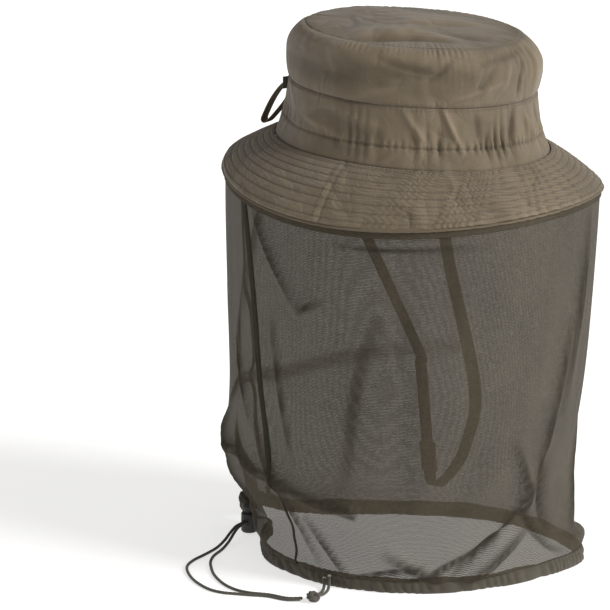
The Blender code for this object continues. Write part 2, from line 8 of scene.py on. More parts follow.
import bpy
import numpy as np
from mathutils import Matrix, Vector


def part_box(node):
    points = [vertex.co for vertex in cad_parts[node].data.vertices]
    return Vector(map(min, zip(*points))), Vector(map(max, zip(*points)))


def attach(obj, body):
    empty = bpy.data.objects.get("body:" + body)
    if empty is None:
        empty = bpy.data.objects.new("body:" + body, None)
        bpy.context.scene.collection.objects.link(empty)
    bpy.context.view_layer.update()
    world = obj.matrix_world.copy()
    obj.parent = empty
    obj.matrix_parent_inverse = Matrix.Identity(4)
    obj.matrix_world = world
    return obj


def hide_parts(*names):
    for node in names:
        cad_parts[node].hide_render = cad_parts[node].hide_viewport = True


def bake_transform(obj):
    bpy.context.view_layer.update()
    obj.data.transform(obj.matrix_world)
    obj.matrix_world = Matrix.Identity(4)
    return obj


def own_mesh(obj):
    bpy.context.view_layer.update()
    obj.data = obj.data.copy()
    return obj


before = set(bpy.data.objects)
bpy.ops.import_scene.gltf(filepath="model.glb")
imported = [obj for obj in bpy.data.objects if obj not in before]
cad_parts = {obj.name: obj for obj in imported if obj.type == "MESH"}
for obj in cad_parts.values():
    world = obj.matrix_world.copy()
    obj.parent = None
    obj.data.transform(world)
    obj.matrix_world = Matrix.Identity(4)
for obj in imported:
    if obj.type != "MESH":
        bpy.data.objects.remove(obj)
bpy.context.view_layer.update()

MM = 0.001
TILT = 0.04                    # the hat sits a little lower at the front


def half_sizes(node):
    """Half of a ring-shaped node's length (along Y) and of its width (along X)."""
    low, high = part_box(node)
    return (high.y - low.y) / 2, (high.x - low.x) / 2


# ---------------------------------------------------------------- sizes, from the frame

HEAD_LONG, HEAD_WIDE = half_sizes("crown_side_lower")
SIDE_LONG, SIDE_WIDE = half_sizes("crown_side_upper")
TIP_LONG, TIP_WIDE = half_sizes("crown_tip")
BRIM_LONG, BRIM_WIDE = half_sizes("brim_upper")
MID_SEAM_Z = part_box("crown_side_upper")[0].z + TILT * SIDE_LONG
TIP_SEAM_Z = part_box("crown_side_upper")[1].z - TILT * TIP_LONG + 1.5 * MM
TIP_TOP_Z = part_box("crown_tip")[1].z
FLOOR_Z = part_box("hem_channel")[0].z
HEM_HEIGHT = 12 * MM
HEM_DEPTH = 4.4 * MM
SIDE_FLARE_LONG, SIDE_FLARE_WIDE = HEAD_LONG - SIDE_LONG, HEAD_WIDE - SIDE_WIDE
ELASTIC_SHARE = 0.348          # height of the elastic's stitch line, as a share of the lower panel
BRIM_DROP = 21 * MM
BRIM_SIDE_SAG = 14 * MM
BRIM_ROWS = 8                  # rows of quilting stitches
CLOTH = 1.0 * MM
CORD_D = 2.3 * MM
STRAP_WIDTH = 10 * MM
STRAP_CLOTH = 1.2 * MM

# Routes repeated from the CAD model, in metres. Heights of the first group count from the floor.
HEM_ROUTE = [
    (-.030, .1085, 0), (-.058, .097, 0), (-.087, .067, 0), (-.101, .010, 0), (-.087, -.045, 0),
    (-.054, -.087, 0), (-.007, -.115, 0), (.046, -.126, 0), (.075, -.092, 0), (.090, -.050, 0),
    (.088, -.004, 0), (.065, .048, 0), (.024, .114, .001), (.006, .139, .008), (-.012, .146, .012),
    (-.0175, .135, .005),
]
HEM_GAP_ROUTE = [(-.017, .127, .003), (-.021, .117, .001)]
STRAND_ROUTES = {
    "outer": [
        (-.0393, .1273, .0096), (-.0495, .1273, .0096), (-.058, .1268, .0074), (-.068, .1262, .0036),
        (-.080, .1256, .0013), (-.097, .125, .00125), (-.113, .1252, .00125), (-.127, .1215, .00125),
        (-.140, .111, .00125), (-.151, .097, .00125), (-.1585, .081, .00125), (-.1595, .069, .00125),
        (-.1565, .0585, .00125), (-.1528, .048, .00125), (-.148, .035, .00125), (-.147, .020, .00125),
        (-.143, .0095, .0022),
    ],
    "inner": [
        (-.0393, .1247, .0096), (-.0495, .1247, .0096), (-.058, .1236, .0074), (-.068, .122, .0036),
        (-.080, .1202, .0013), (-.096, .1175, .00125), (-.108, .1125, .00125), (-.118, .1055, .00125),
        (-.131, .094, .00125), (-.143, .078, .00125), (-.149, .063, .00125), (-.149, .050, .00125),
        (-.1448, .0355, .00125), (-.1438, .0205, .00125), (-.140, .0095, .0022),
    ],
}
KNOT = (-.1375, .0015, .0043)
TAIL_ROUTES = [
    [(-.1315, .0005, .0036), (-.124, .0008, .0020), (-.113, .0035, .0022), (-.1065, .0065, .0095)],
    [(-.1325, .0048, .0036), (-.124, .0044, .0016), (-.113, .0075, .0020), (-.1065, .0110, .0070)],
]
DRAWCORD_START = [(-.039, .1247, .0096), (-.025, .1247, .0096), (-.0195, .121, .009),
                  (-.0205, .1135, .0075)]
DRAWCORD_END = [(-.0192, .1296, .0102), (-.025, .1273, .0096), (-.039, .1273, .0096)]
STRAP_ROUTE = [
    (-.081, .018, -.007), (-.058, .0055, -.061), (-.035, -.0069, -.114), (-.01536, -.01757, -.160),
    (-.002, -.020, -.262), (.003, -.021, -.270), (.012, -.022, -.270), (.027, -.025, -.262),
    (.040, -.028, -.245), (.050, -.029, -.200), (.064, .006, -.094), (.078, .015, -.040),
    (.081, .018, -.007),
]
LOOP_ROUTE = [(0, .103, .0348), (0, .112, .032), (0, .122, .0205), (0, .130, .006), (0, .1315, .0008),
              (0, .1275, .0002), (0, .119, .009), (0, .111, .0185), (0, .103, .0304)]

# Colours, as linear reflectance
OLIVE_LIGHT = (0.208, 0.161, 0.104)
OLIVE_DEEP = (0.108, 0.084, 0.052)
TRIM_LIGHT = (0.082, 0.073, 0.053)
TRIM_DEEP = (0.040, 0.036, 0.026)
NET_THREAD = (0.068, 0.056, 0.039)
NET_DEEP = (0.036, 0.032, 0.022)
THREAD_OLIVE = (0.105, 0.088, 0.062)
LEATHER_LIGHT = (0.210, 0.120, 0.064)
LEATHER_DEEP = (0.100, 0.055, 0.030)
PLASTIC_DARK = (0.018, 0.017, 0.015)
STEEL = (0.58, 0.57, 0.55)
SNAP_BROWN = (0.085, 0.070, 0.052)
FILL_WHITE = (0.62, 0.60, 0.54)


# ---------------------------------------------------------------- camera, light and floor

CAMERA_AZIMUTH = math.radians(-58)
CAMERA_ELEVATION = math.radians(15.5)
CAMERA_DISTANCE = 2.4
CAMERA_TARGET = Vector((-.07057, .05053, -.11925))
CAMERA_LENS = 188.85           # millimetres, on a 36 mm sensor


def toward(azimuth, elevation):
    """The direction from the target to a viewer at this azimuth and elevation."""
    return Vector((math.sin(azimuth) * math.cos(elevation), -math.cos(azimuth) * math.cos(elevation),
                   math.sin(elevation)))


def add_camera():
    data = bpy.data.cameras.new("camera")
    data.lens = CAMERA_LENS
    data.sensor_width = 36
    camera = bpy.data.objects.new("camera", data)
    bpy.context.scene.collection.objects.link(camera)
    back = toward(CAMERA_AZIMUTH, CAMERA_ELEVATION)
    camera.location = CAMERA_TARGET + back * CAMERA_DISTANCE
    camera.rotation_euler = back.to_track_quat("Z", "Y").to_euler()
    bpy.context.scene.camera = camera


def add_sun(name, azimuth, elevation, strength, softness):
    """A lamp so far off that it lights all of the floor alike. softness is its width, in degrees."""
    data = bpy.data.lights.new(name, "SUN")
    data.energy = strength
    data.angle = math.radians(softness)
    light = bpy.data.objects.new(name, data)
    bpy.context.scene.collection.objects.link(light)
    back = toward(math.radians(azimuth), math.radians(elevation))
    light.rotation_euler = back.to_track_quat("Z", "Y").to_euler()


def add_studio():
    """A faintly lit white table, an even white surround, and one soft lamp at the viewer's right."""
    scene = bpy.context.scene
    scene.view_settings.view_transform = "Standard"
    world = bpy.data.worlds.new("studio")
    world.use_nodes = True
    world.node_tree.nodes["Background"].inputs["Color"].default_value = (1.0, 0.995, 0.985, 1)
    world.node_tree.nodes["Background"].inputs["Strength"].default_value = 0.33
    scene.world = world
    add_sun("key", 6, 32, 3.5, 24)
    half = 9.0
    corners = [(-half, -half, FLOOR_Z), (half, -half, FLOOR_Z), (half, half, FLOOR_Z),
               (-half, half, FLOOR_Z)]
    mesh = bpy.data.meshes.new("floor")
    mesh.from_pydata(corners, [], [(0, 1, 2, 3)])
    floor = bpy.data.objects.new("floor", mesh)
    scene.collection.objects.link(floor)
    paper = Graph("floor_paper", (0.62, 0.62, 0.615), 0.9)
    speck = paper.noise(40, 4)
    paper.colour(speck, (0.61, 0.61, 0.605), (0.63, 0.63, 0.625))
    paper.set("Emission Color", (1.0, 0.995, 0.985, 1))
    paper.set("Emission Strength", 0.64)
    mesh.materials.append(paper.material)


# ---------------------------------------------------------------- materials

class Graph:
    """A Principled material and short ways to add nodes to it."""

    def __init__(self, name, colour, roughness, metallic=0.0):
        self.material = bpy.data.materials.new(name)
        self.material.use_nodes = True
        self.nodes = self.material.node_tree.nodes
        self.links = self.material.node_tree.links
        self.shader = self.nodes["Principled BSDF"]
        self.set("Base Color", (*colour, 1))
        self.set("Roughness", roughness)
        self.set("Metallic", metallic)

    def set(self, socket, value):
        self.shader.inputs[socket].default_value = value

    def link(self, source, target):
        self.links.new(source, target)

    def math(self, operation, *values, clamp=False):
        node = self.nodes.new("ShaderNodeMath")
        node.operation = operation
        node.use_clamp = clamp
        for socket, value in zip(node.inputs, values):
            if isinstance(value, (int, float)):
                socket.default_value = value
            else:
                self.link(value, socket)
        return node.outputs[0]

    def cloth_uv(self):
        """The point's place on the cloth, in metres along its width and its length."""
        uv = self.nodes.new("ShaderNodeUVMap")
        uv.uv_map = "cloth"
        parts = self.nodes.new("ShaderNodeSeparateXYZ")
        self.link(uv.outputs[0], parts.inputs[0])
        return parts.outputs[0], parts.outputs[1]

    def attribute(self, name):
        node = self.nodes.new("ShaderNodeAttribute")
        node.attribute_name = name
        return node.outputs["Fac"]

    def noise(self, scale, detail, distortion=0.0):
        place = self.nodes.new("ShaderNodeTexCoord")
        node = self.nodes.new("ShaderNodeTexNoise")
        node.inputs["Scale"].default_value = scale
        node.inputs["Detail"].default_value = detail
        node.inputs["Distortion"].default_value = distortion
        self.link(place.outputs["Object"], node.inputs["Vector"])
        return node.outputs[0]

    def wave(self, length, pitch):
        """From -1 to 1 and back once every pitch metres."""
        return self.math("SINE", self.math("MULTIPLY", length, 2 * math.pi / pitch))

    def colour(self, share, low, high):
        """Base colour between low and high, by a share from 0 to 1."""
        node = self.nodes.new("ShaderNodeMix")
        node.data_type = "RGBA"
        self.link(share, node.inputs["Factor"])
        node.inputs["A"].default_value = (*low, 1)
        node.inputs["B"].default_value = (*high, 1)
        self.link(node.outputs["Result"], self.shader.inputs["Base Color"])

    def bump(self, height, strength, distance):
        node = self.nodes.new("ShaderNodeBump")
        node.inputs["Strength"].default_value = strength
        node.inputs["Distance"].default_value = distance
        self.link(height, node.inputs["Height"])
        self.link(node.outputs[0], self.shader.inputs["Normal"])

    def roughen(self, share, low, high):
        spread = self.math("MULTIPLY_ADD", share, high - low, low)
        self.link(spread, self.shader.inputs["Roughness"])


def woven(name, low, high, pitch, roughness, sheen=0.2, crumple=0.0):
    """A plain weave: warp and weft ridges, uneven dye, and painted light and shade from the folds, the
    colour drawn toward high where they stand proud and toward low in their valleys.

    crumple is the height of the fine creases left in the cloth, in metres.
    """
    made = Graph(name, high, roughness)
    u, v = made.cloth_uv()
    threads = made.math("MULTIPLY", made.wave(u, pitch), made.wave(v, pitch))
    patch = made.noise(26, 3, 0.4)
    grain = made.noise(900, 2)
    share = made.math("MULTIPLY_ADD", made.math("SUBTRACT", patch, 0.5), 0.9, 0.5)
    share = made.math("MULTIPLY_ADD", made.math("SUBTRACT", grain, 0.5), 0.7, share)
    share = made.math("MULTIPLY_ADD", threads, 0.10, share)
    # painted light and shade: the relief attribute draws the colour toward high on fold tops and toward low
    # in fold valleys
    share = made.math("MULTIPLY_ADD", made.attribute("relief"), 0.35, share, clamp=True)
    made.colour(share, low, high)
    made.roughen(patch, roughness - 0.08, roughness + 0.08)
    height = made.math("MULTIPLY", made.math("MULTIPLY_ADD", grain, 0.8, threads), pitch * 0.14)
    for scale, twist in ((16, 1.2), (34, 0.8)):
        fold = made.math("ABSOLUTE", made.math("SUBTRACT", made.noise(scale, 1, twist), 0.5))
        height = made.math("MULTIPLY_ADD", fold, crumple * 16 / scale, height)
    made.bump(height, 1.0, 1.0)
    made.set("Sheen Weight", sheen)
    made.set("Sheen Roughness", 0.45)
    made.set("Specular IOR Level", 0.3)
    return made.material


def webbing(name, low, high):
    """A narrow tape: a herringbone of short slanting floats with a firm edge."""
    made = Graph(name, high, 0.8)
    u, v = made.cloth_uv()
    slant = made.math("ABSOLUTE", made.wave(u, 5 * MM))
    run = made.math("MULTIPLY_ADD", slant, 1.2 * MM, v)
    ridge = made.wave(run, 1.3 * MM)
    grain = made.noise(700, 2)
    share = made.math("MULTIPLY_ADD", ridge, 0.28, made.math("MULTIPLY", grain, 1.0), clamp=True)
    made.colour(share, low, high)
    made.bump(ridge, 0.5, 0.25 * MM)
    made.set("Sheen Weight", 0.15)
    made.set("Specular IOR Level", 0.25)
    return made.material


NET_KNIT = [(0.70 * MM, 0.30), (1.15 * MM, 0.50)]     # across and along: pitch, and the threads' share
NET_SOLID = 0.92               # how far a thread hides what is behind it


def netting(name, thread, haze=0.58):
    """Knitted mesh: threads across and along the cloth, and between them holes that fine fibres haze.

    A point's relief is how far it lies in a doubled fold, which is darker and hides more.
    """
    made = Graph(name, thread, 0.85)
    u, v = made.cloth_uv()
    solid = []
    for length, (pitch, cover) in zip((u, v), NET_KNIT):
        uneven = made.math("SUBTRACT", made.noise(420 + 1e4 * pitch, 1), 0.5)
        uneven = made.math("MULTIPLY", uneven, 1.1 * pitch)
        share = made.math("FRACT", made.math("DIVIDE", made.math("ADD", length, uneven), pitch))
        off = made.math("ABSOLUTE", made.math("SUBTRACT", share, 0.5))
        edge = made.math("SUBTRACT", off, 0.5 - cover / 2)
        solid.append(made.math("MULTIPLY_ADD", edge, 4.0, 0.5, clamp=True))
    clear = made.math("MULTIPLY", *(made.math("SUBTRACT", 1.0, one) for one in solid))
    doubled = made.attribute("relief")
    alpha = made.math("MULTIPLY_ADD", clear, haze - NET_SOLID, NET_SOLID)
    hidden = made.math("MULTIPLY", doubled, 0.9)
    alpha = made.math("MULTIPLY_ADD", made.math("SUBTRACT", 1.0, alpha), hidden, alpha, clamp=True)
    made.link(alpha, made.shader.inputs["Alpha"])
    broad = made.math("MULTIPLY", made.noise(14, 3, 1.0), 0.5)
    patch = made.math("MULTIPLY_ADD", made.noise(300, 2), 0.5, broad)
    share = made.math("SUBTRACT", patch, made.math("MULTIPLY", doubled, 0.5), clamp=True)
    made.colour(share, tuple(c * 0.45 for c in thread), tuple(c * 1.5 for c in thread))
    made.bump(alpha, 0.3, 0.2 * MM)
    made.set("Specular IOR Level", 0.1)
    return made.material


def braided(name, low, high):
    """Fine braided cord: the relief of the strands is in the mesh, and this adds their colour, with painted
    shade in the grooves between strands and painted light on their crowns.
    """
    made = Graph(name, high, 0.75)
    grain = made.noise(1500, 2)
    # painted shade and light: the strands' relief darkens the grooves between them and lightens their crowns
    share = made.math("MULTIPLY_ADD", made.attribute("relief"), 0.5, grain, clamp=True)
    made.colour(share, low, high)
    made.bump(grain, 0.4, 0.15 * MM)
    made.set("Sheen Weight", 0.25)
    return made.material


def moulded(name, colour, roughness):
    """Moulded plastic: a fine spark-eroded grain and faint handling wear."""
    made = Graph(name, colour, roughness)
    grain = made.noise(2600, 2)
    wear = made.noise(160, 4, 0.6)
    made.colour(wear, colour, tuple(c * 1.9 + 0.004 for c in colour))
    made.roughen(wear, roughness - 0.1, roughness + 0.15)
    made.bump(grain, 0.2, 0.05 * MM)
    return made.material


def pressed_metal(name, colour, roughness):
    """Stamped metal: a brushed face with small dark flecks in its finish."""
    made = Graph(name, colour, roughness, 0.9)
    fleck = made.noise(420, 5, 0.3)
    made.colour(fleck, tuple(c * 0.6 for c in colour), tuple(min(c * 1.3, 1) for c in colour))
    made.roughen(fleck, roughness - 0.1, roughness + 0.2)
    made.bump(fleck, 0.15, 0.05 * MM)
    return made.material


def hide(name):
    """Leather: pebbled grain, uneven dye and darker pores."""
    made = Graph(name, LEATHER_LIGHT, 0.55)
    cells = made.nodes.new("ShaderNodeTexVoronoi")
    cells.inputs["Scale"].default_value = 900
    place = made.nodes.new("ShaderNodeTexCoord")
    made.link(place.outputs["Object"], cells.inputs["Vector"])
    pebble = made.math("MULTIPLY", cells.outputs["Distance"], 1.4, clamp=True)
    patch = made.noise(120, 4, 0.5)
    share = made.math("MULTIPLY_ADD", pebble, -0.5, made.math("MULTIPLY", patch, 1.5), clamp=True)
    made.colour(share, LEATHER_DEEP, LEATHER_LIGHT)
    made.roughen(patch, 0.45, 0.7)
    made.bump(made.math("SUBTRACT", 1.0, pebble), 0.5, 0.12 * MM)
    return made.material


def padding(name):
    """Pressed fibre filling."""
    made = Graph(name, FILL_WHITE, 0.95)
    fibre = made.noise(500, 5, 1.5)
    made.colour(fibre, tuple(c * 0.8 for c in FILL_WHITE), FILL_WHITE)
    made.bump(fibre, 0.5, 0.2 * MM)
    return made.material


# ---------------------------------------------------------------- number fields

def ripple(turn, seed, low, high):
    """A smooth wave round the hat: a sum of whole numbers of waves from low to high, mostly within 1."""
    draw = np.random.default_rng(seed)
    total = np.zeros(np.shape(turn))
    counts = range(low, high + 1)
    for count in counts:
        total = total + draw.normal() * np.cos(count * turn + draw.uniform(0, 2 * math.pi))
    return total / math.sqrt(len(counts))


def gather(turn, seed, folds, unevenness=1.6):
    """Gathered cloth: rounded tops with sharp valleys between, folds of them round the hat."""
    phase = folds / 2 * turn + unevenness * ripple(turn, seed, 3, 11)
    return np.abs(np.sin(phase)) - 0.64


def squared(value, power):
    """A sine or cosine drawn towards 1 and -1, which turns an ellipse into a rounded rectangle."""
    return np.sign(value) * np.abs(value) ** power


def near(value, centre, width):
    return np.exp(-((value - centre) / width) ** 2)


def facing(turn, degrees, width):
    """1 at this turn, falling smoothly to 0 some width of degrees away from it."""
    apart = (turn - math.radians(degrees) + math.pi) % (2 * math.pi) - math.pi
    return np.exp(-(apart / math.radians(width)) ** 2)


def beside_line(x, y, across, up):
    """For points seen from a line's start: the share along the line (0 to 1), and the distance off it."""
    along = np.clip((x * across + y * up) / (across ** 2 + up ** 2), 0, 1)
    return along, np.hypot(x - along * across, y - along * up)


def creases(turn, height, lines):
    """Straight folds on a side panel. Each line is (turn in degrees, height share) at its start and at
    its end, then the fold's width in metres and its depth in millimetres. Height shares count in
    panels, up from the brim."""
    depth = np.zeros(np.shape(turn))
    for (turn_0, height_0), (turn_1, height_1), width, deep in lines:
        x = ((turn - math.radians(turn_0) + math.pi) % (2 * math.pi) - math.pi) * SIDE_WIDE
        y = (height - height_0) * MID_SEAM_Z
        across = math.radians((turn_1 - turn_0 + 180) % 360 - 180) * SIDE_WIDE
        along, off = beside_line(x, y, across, (height_1 - height_0) * MID_SEAM_Z)
        depth += deep * np.exp(-(off / width) ** 2) * (0.35 + 0.65 * np.sin(math.pi * along))
    return depth


# ---------------------------------------------------------------- meshes from grids of points

def grid_normals(points, loop):
    """The surface's direction at each point of a grid."""
    if loop:
        around = np.roll(points, -1, 1) - np.roll(points, 1, 1)
    else:
        around = np.gradient(points, axis=1)
    found = np.cross(around, np.gradient(points, axis=0))
    return found / np.maximum(np.linalg.norm(found, axis=2, keepdims=True), 1e-12)


def emboss(points, depth, loop=True, out=1):
    """Moves each point along the surface's normal."""
    return points + grid_normals(points, loop) * (out * depth)[..., None]


def grid_corners(rows, cols, loop):
    """Row and column of each face's four corners. A looped grid's last column is numbered on past it."""
    r, c = np.meshgrid(np.arange(rows - 1), np.arange(cols if loop else cols - 1), indexing="ij")
    r, c = r.ravel(), c.ravel()
    return np.stack([r, r, r + 1, r + 1], 1), np.stack([c, c + 1, c + 1, c], 1)


def rim_corners(rows, cols, loop):
    """Rows and columns of the edge's steps, in the order that the front's faces pass them."""
    last_row, last = rows - 1, cols if loop else cols - 1
    steps = [((0, c), (0, c + 1)) for c in range(last)]
    if not loop:
        steps += [((r, last), (r + 1, last)) for r in range(last_row)]
        steps += [((r + 1, 0), (r, 0)) for r in range(last_row)]
    steps += [((last_row, c + 1), (last_row, c)) for c in range(last)]
    return np.array(steps)


def place_uv(points, loop):
    """Distance along the cloth of each column and each row, one more column where it loops."""
    wide = np.concatenate([points, points[:, :1]], 1) if loop else points
    across = np.linalg.norm(np.diff(wide, axis=1), axis=2).mean(0)
    along = np.linalg.norm(np.diff(points, axis=0), axis=2).mean(1)
    return np.concatenate([[0], np.cumsum(across)]), np.concatenate([[0], np.cumsum(along)])


def sheet_mesh(name, front, loop=True, thickness=0.0, out=1, relief=None):
    """A cloth through a grid of points. With a thickness it is closed, its back behind the front."""
    rows, cols, _ = front.shape
    r, c = grid_corners(rows, cols, loop)
    count = rows * cols
    faces, face_r, face_c = [r * cols + c % cols], [r], [c]
    points = [front.reshape(-1, 3)]
    if thickness:
        back = front - grid_normals(front, loop) * out * thickness
        points.append(back.reshape(-1, 3))
        faces.append((r * cols + c % cols + count)[:, ::-1])
        face_r.append(r[:, ::-1])
        face_c.append(c[:, ::-1])
        steps = rim_corners(rows, cols, loop)
        order = [(1, 0), (0, 0), (0, 1), (1, 1)]
        rr = np.stack([steps[:, end, 0] for end, _ in order], 1)
        cc = np.stack([steps[:, end, 1] for end, _ in order], 1)
        side = np.array([count * skin for _, skin in order])
        faces.append(rr * cols + cc % cols + side)
        face_r.append(rr)
        face_c.append(cc)
    faces, face_r, face_c = (np.concatenate(x) for x in (faces, face_r, face_c))
    if out < 0:
        faces, face_r, face_c = faces[:, ::-1], face_r[:, ::-1], face_c[:, ::-1]
    u, v = place_uv(front, loop)
    uv = np.stack([u[face_c], v[face_r]], -1)
    if relief is None:
        relief = np.zeros((rows, cols))
    relief = np.broadcast_to(relief, (rows, cols)).ravel()
    return mesh_object(name, np.concatenate(points), faces, uv, np.tile(relief, len(points)))


def mesh_object(name, points, faces, uv=None, relief=None):
    """An object from quads. uv is each face corner's place on the cloth, relief a number for each point."""
    mesh = bpy.data.meshes.new(name)
    mesh.vertices.add(len(points))
    mesh.vertices.foreach_set("co", np.ascontiguousarray(points, np.float32).ravel())
    mesh.loops.add(faces.size)
    mesh.loops.foreach_set("vertex_index", np.ascontiguousarray(faces, np.int32).ravel())
    mesh.polygons.add(len(faces))
    mesh.polygons.foreach_set("loop_start", np.arange(len(faces), dtype=np.int32) * 4)
    mesh.update(calc_edges=True)
    if uv is not None:
        layer = mesh.uv_layers.new(name="cloth")
        layer.data.foreach_set("uv", np.ascontiguousarray(uv, np.float32).ravel())
    # the cloth and cord materials turn the relief attribute into painted light and shade along folds and
    # strands; the net reads it as its doubled layers
    if relief is not None:
        layer = mesh.attributes.new("relief", "FLOAT", "POINT")
        layer.data.foreach_set("value", np.ascontiguousarray(relief, np.float32))
    mesh.shade_smooth()
    made = bpy.data.objects.new(name, mesh)
    bpy.context.scene.collection.objects.link(made)
    return made


def dress(piece, body, slot, material, *replaced):
    """Gives a finished piece its body and material, and what it stands for. Its slot argument is not used.
    """
    piece.data.materials.append(material)
    if body:
        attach(piece, body)
    if replaced:
        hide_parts(*replaced)
    return piece


def walked_lengths(path):
    """How far along a path each of its points lies."""
    return np.concatenate([[0], np.cumsum(np.linalg.norm(np.diff(path, axis=0), axis=1))])


def at_lengths(stops, walked, values):
    """The values, given at each walked length, read off at the stops."""
    return np.stack([np.interp(stops, walked, values[:, k]) for k in range(3)], -1)


def smooth_route(route, step):
    """Evenly spaced points on a Catmull-Rom curve through the route, as an array."""
    route = np.array(route, float)
    knots = np.concatenate([2 * route[:1] - route[1:2], route, 2 * route[-1:] - route[-2:-1]])
    fine = []
    for p0, p1, p2, p3 in zip(knots, knots[1:], knots[2:], knots[3:]):
        t = (np.arange(24) / 24)[:, None]
        fine.append(0.5 * (2 * p1 + (p2 - p0) * t + (2 * p0 - 5 * p1 + 4 * p2 - p3) * t ** 2
                           + (3 * p1 - p0 - 3 * p2 + p3) * t ** 3))
    fine = np.concatenate(fine + [route[-1:]])
    walked = walked_lengths(fine)
    stops = np.linspace(0, walked[-1], max(2, round(walked[-1] / step)) + 1)
    return at_lengths(stops, walked, fine)


def over_floor(route):
    """A route whose heights count from the floor, in the frame."""
    return [(x, y, FLOOR_Z + z) for x, y, z in route]


def headings(path, closed=False):
    """The direction of a path at each of its points."""
    if closed:
        found = np.roll(path, -1, 0) - np.roll(path, 1, 0)
    else:
        found = np.gradient(path, axis=0)
    return found / np.linalg.norm(found, axis=1, keepdims=True)


def tube_rings(path, radius, sides, closed=False):
    """Rings round a path, with as little twist as it allows. radius(ring, side) may vary."""
    ahead = headings(path, closed)
    side = np.cross(ahead[0], [0.3, 0.2, 1.0])
    turn = np.arange(sides) * 2 * math.pi / sides
    rings = []
    for k, (point, heading) in enumerate(zip(path, ahead)):
        side = side - heading * (side @ heading)
        side = side / np.linalg.norm(side)
        up = np.cross(heading, side)
        reach = radius(k, turn)[:, None]
        rings.append(point + reach * (np.cos(turn)[:, None] * side + np.sin(turn)[:, None] * up))
    return np.array(rings)


def close_ends(faces, ring, first, last):
    """Adds quads that fill a tube's first and last rings, fanned in pairs across each ring."""
    lids = []
    for start, flip in ((first, True), (last, False)):
        for k in range(1, ring // 2):
            lid = [start + k - 1, start + k, start + ring - 1 - k, start + (ring - k) % ring]
            lids.append(lid[::-1] if flip else lid)
    return np.concatenate([faces, np.array(lids)])


def tube(name, path, radius, sides, closed=False, relief=None):
    """A round piece along a path, with flat lids where it isn't closed."""
    if not callable(radius):
        size = radius

        def radius(k, turn):
            return np.full(len(turn), size)
    rings = tube_rings(path, radius, sides, closed)
    rows = len(rings)
    if closed:
        rings = np.concatenate([rings, rings[:1]])
    r, c = grid_corners(rows + 1 if closed else rows, sides, True)
    faces = ((r % rows) * sides + c % sides)[:, ::-1]
    if not closed:
        faces = close_ends(faces[:, ::-1], sides, 0, (rows - 1) * sides)[:, ::-1]
    points = rings[:rows].reshape(-1, 3)
    if relief is not None:
        relief = relief[:rows].ravel()
    return mesh_object(name, points, faces, None, relief)


def ribbon_mesh(name, path, width, thickness, across):
    """A flat tape along a path: ten points round its section, with rounded edges."""
    ahead = headings(path)
    wide = across - ahead * (ahead @ across)[:, None]
    wide = wide / np.linalg.norm(wide, axis=1, keepdims=True)
    thin = np.cross(ahead, wide)
    w, t = width / 2, thickness / 2
    section = [(-w, 0), (-w * 0.94, t * 0.8), (-w * 0.4, t), (w * 0.4, t), (w * 0.94, t * 0.8), (w, 0),
               (w * 0.94, -t * 0.8), (w * 0.4, -t), (-w * 0.4, -t), (-w * 0.94, -t * 0.8)]
    size = len(section)
    rings = np.stack([path + wide * a + thin * b for a, b in section], 1)
    rows = len(path)
    r, c = grid_corners(rows, size, True)
    round_it = np.array([a for a, _ in section] + [section[0][0]]) + w
    uv = np.stack([round_it[c], walked_lengths(path)[r]], -1)[:, ::-1]
    faces = close_ends((r * size + c % size)[:, ::-1], size, 0, (rows - 1) * size)
    uv = np.concatenate([uv, np.zeros((len(faces) - len(uv), 4, 2))])
    return mesh_object(name, rings.reshape(-1, 3), faces, uv)


def lathe_mesh(name, profile, place, sides=72, ribs=0, rib_depth=0.0, rib_span=(0, 0)):
    """Turns a profile of (radius, height) round Z. It starts and ends at a small radius near the axis."""
    turn = np.arange(sides) * 2 * math.pi / sides
    rings = []
    for radius, height in profile:
        reach = np.full(sides, radius)
        if ribs and rib_span[0] <= height <= rib_span[1]:
            reach = reach - rib_depth * (0.5 + 0.5 * np.cos(ribs * turn))
        rings.append(np.stack([reach * np.cos(turn), reach * np.sin(turn), np.full(sides, height)], 1))
    rings = np.array(rings) + np.array(place)
    rows = len(rings)
    r, c = grid_corners(rows, sides, True)
    faces = r * sides + c % sides
    faces = close_ends(faces, sides, 0, (rows - 1) * sides)
    return mesh_object(name, rings.reshape(-1, 3), faces)


def rounded(profile, radius=0.0003, steps=3):
    """Rounds a profile's corners with short arcs."""
    profile = [np.array(p, float) for p in profile]
    made = [profile[0]]
    for before, here, after in zip(profile, profile[1:], profile[2:]):
        back, on = before - here, after - here
        reach = min(radius, np.linalg.norm(back) * 0.45, np.linalg.norm(on) * 0.45)
        a = here + back / np.linalg.norm(back) * reach
        b = here + on / np.linalg.norm(on) * reach
        for k in range(steps + 1):
            t = k / steps
            made.append(a * (1 - t) ** 2 + 2 * here * t * (1 - t) + b * t ** 2)
    return [tuple(p) for p in made + [profile[-1]]]


STITCH_PITCH = 2.9 * MM
STITCH_R = 0.28 * MM


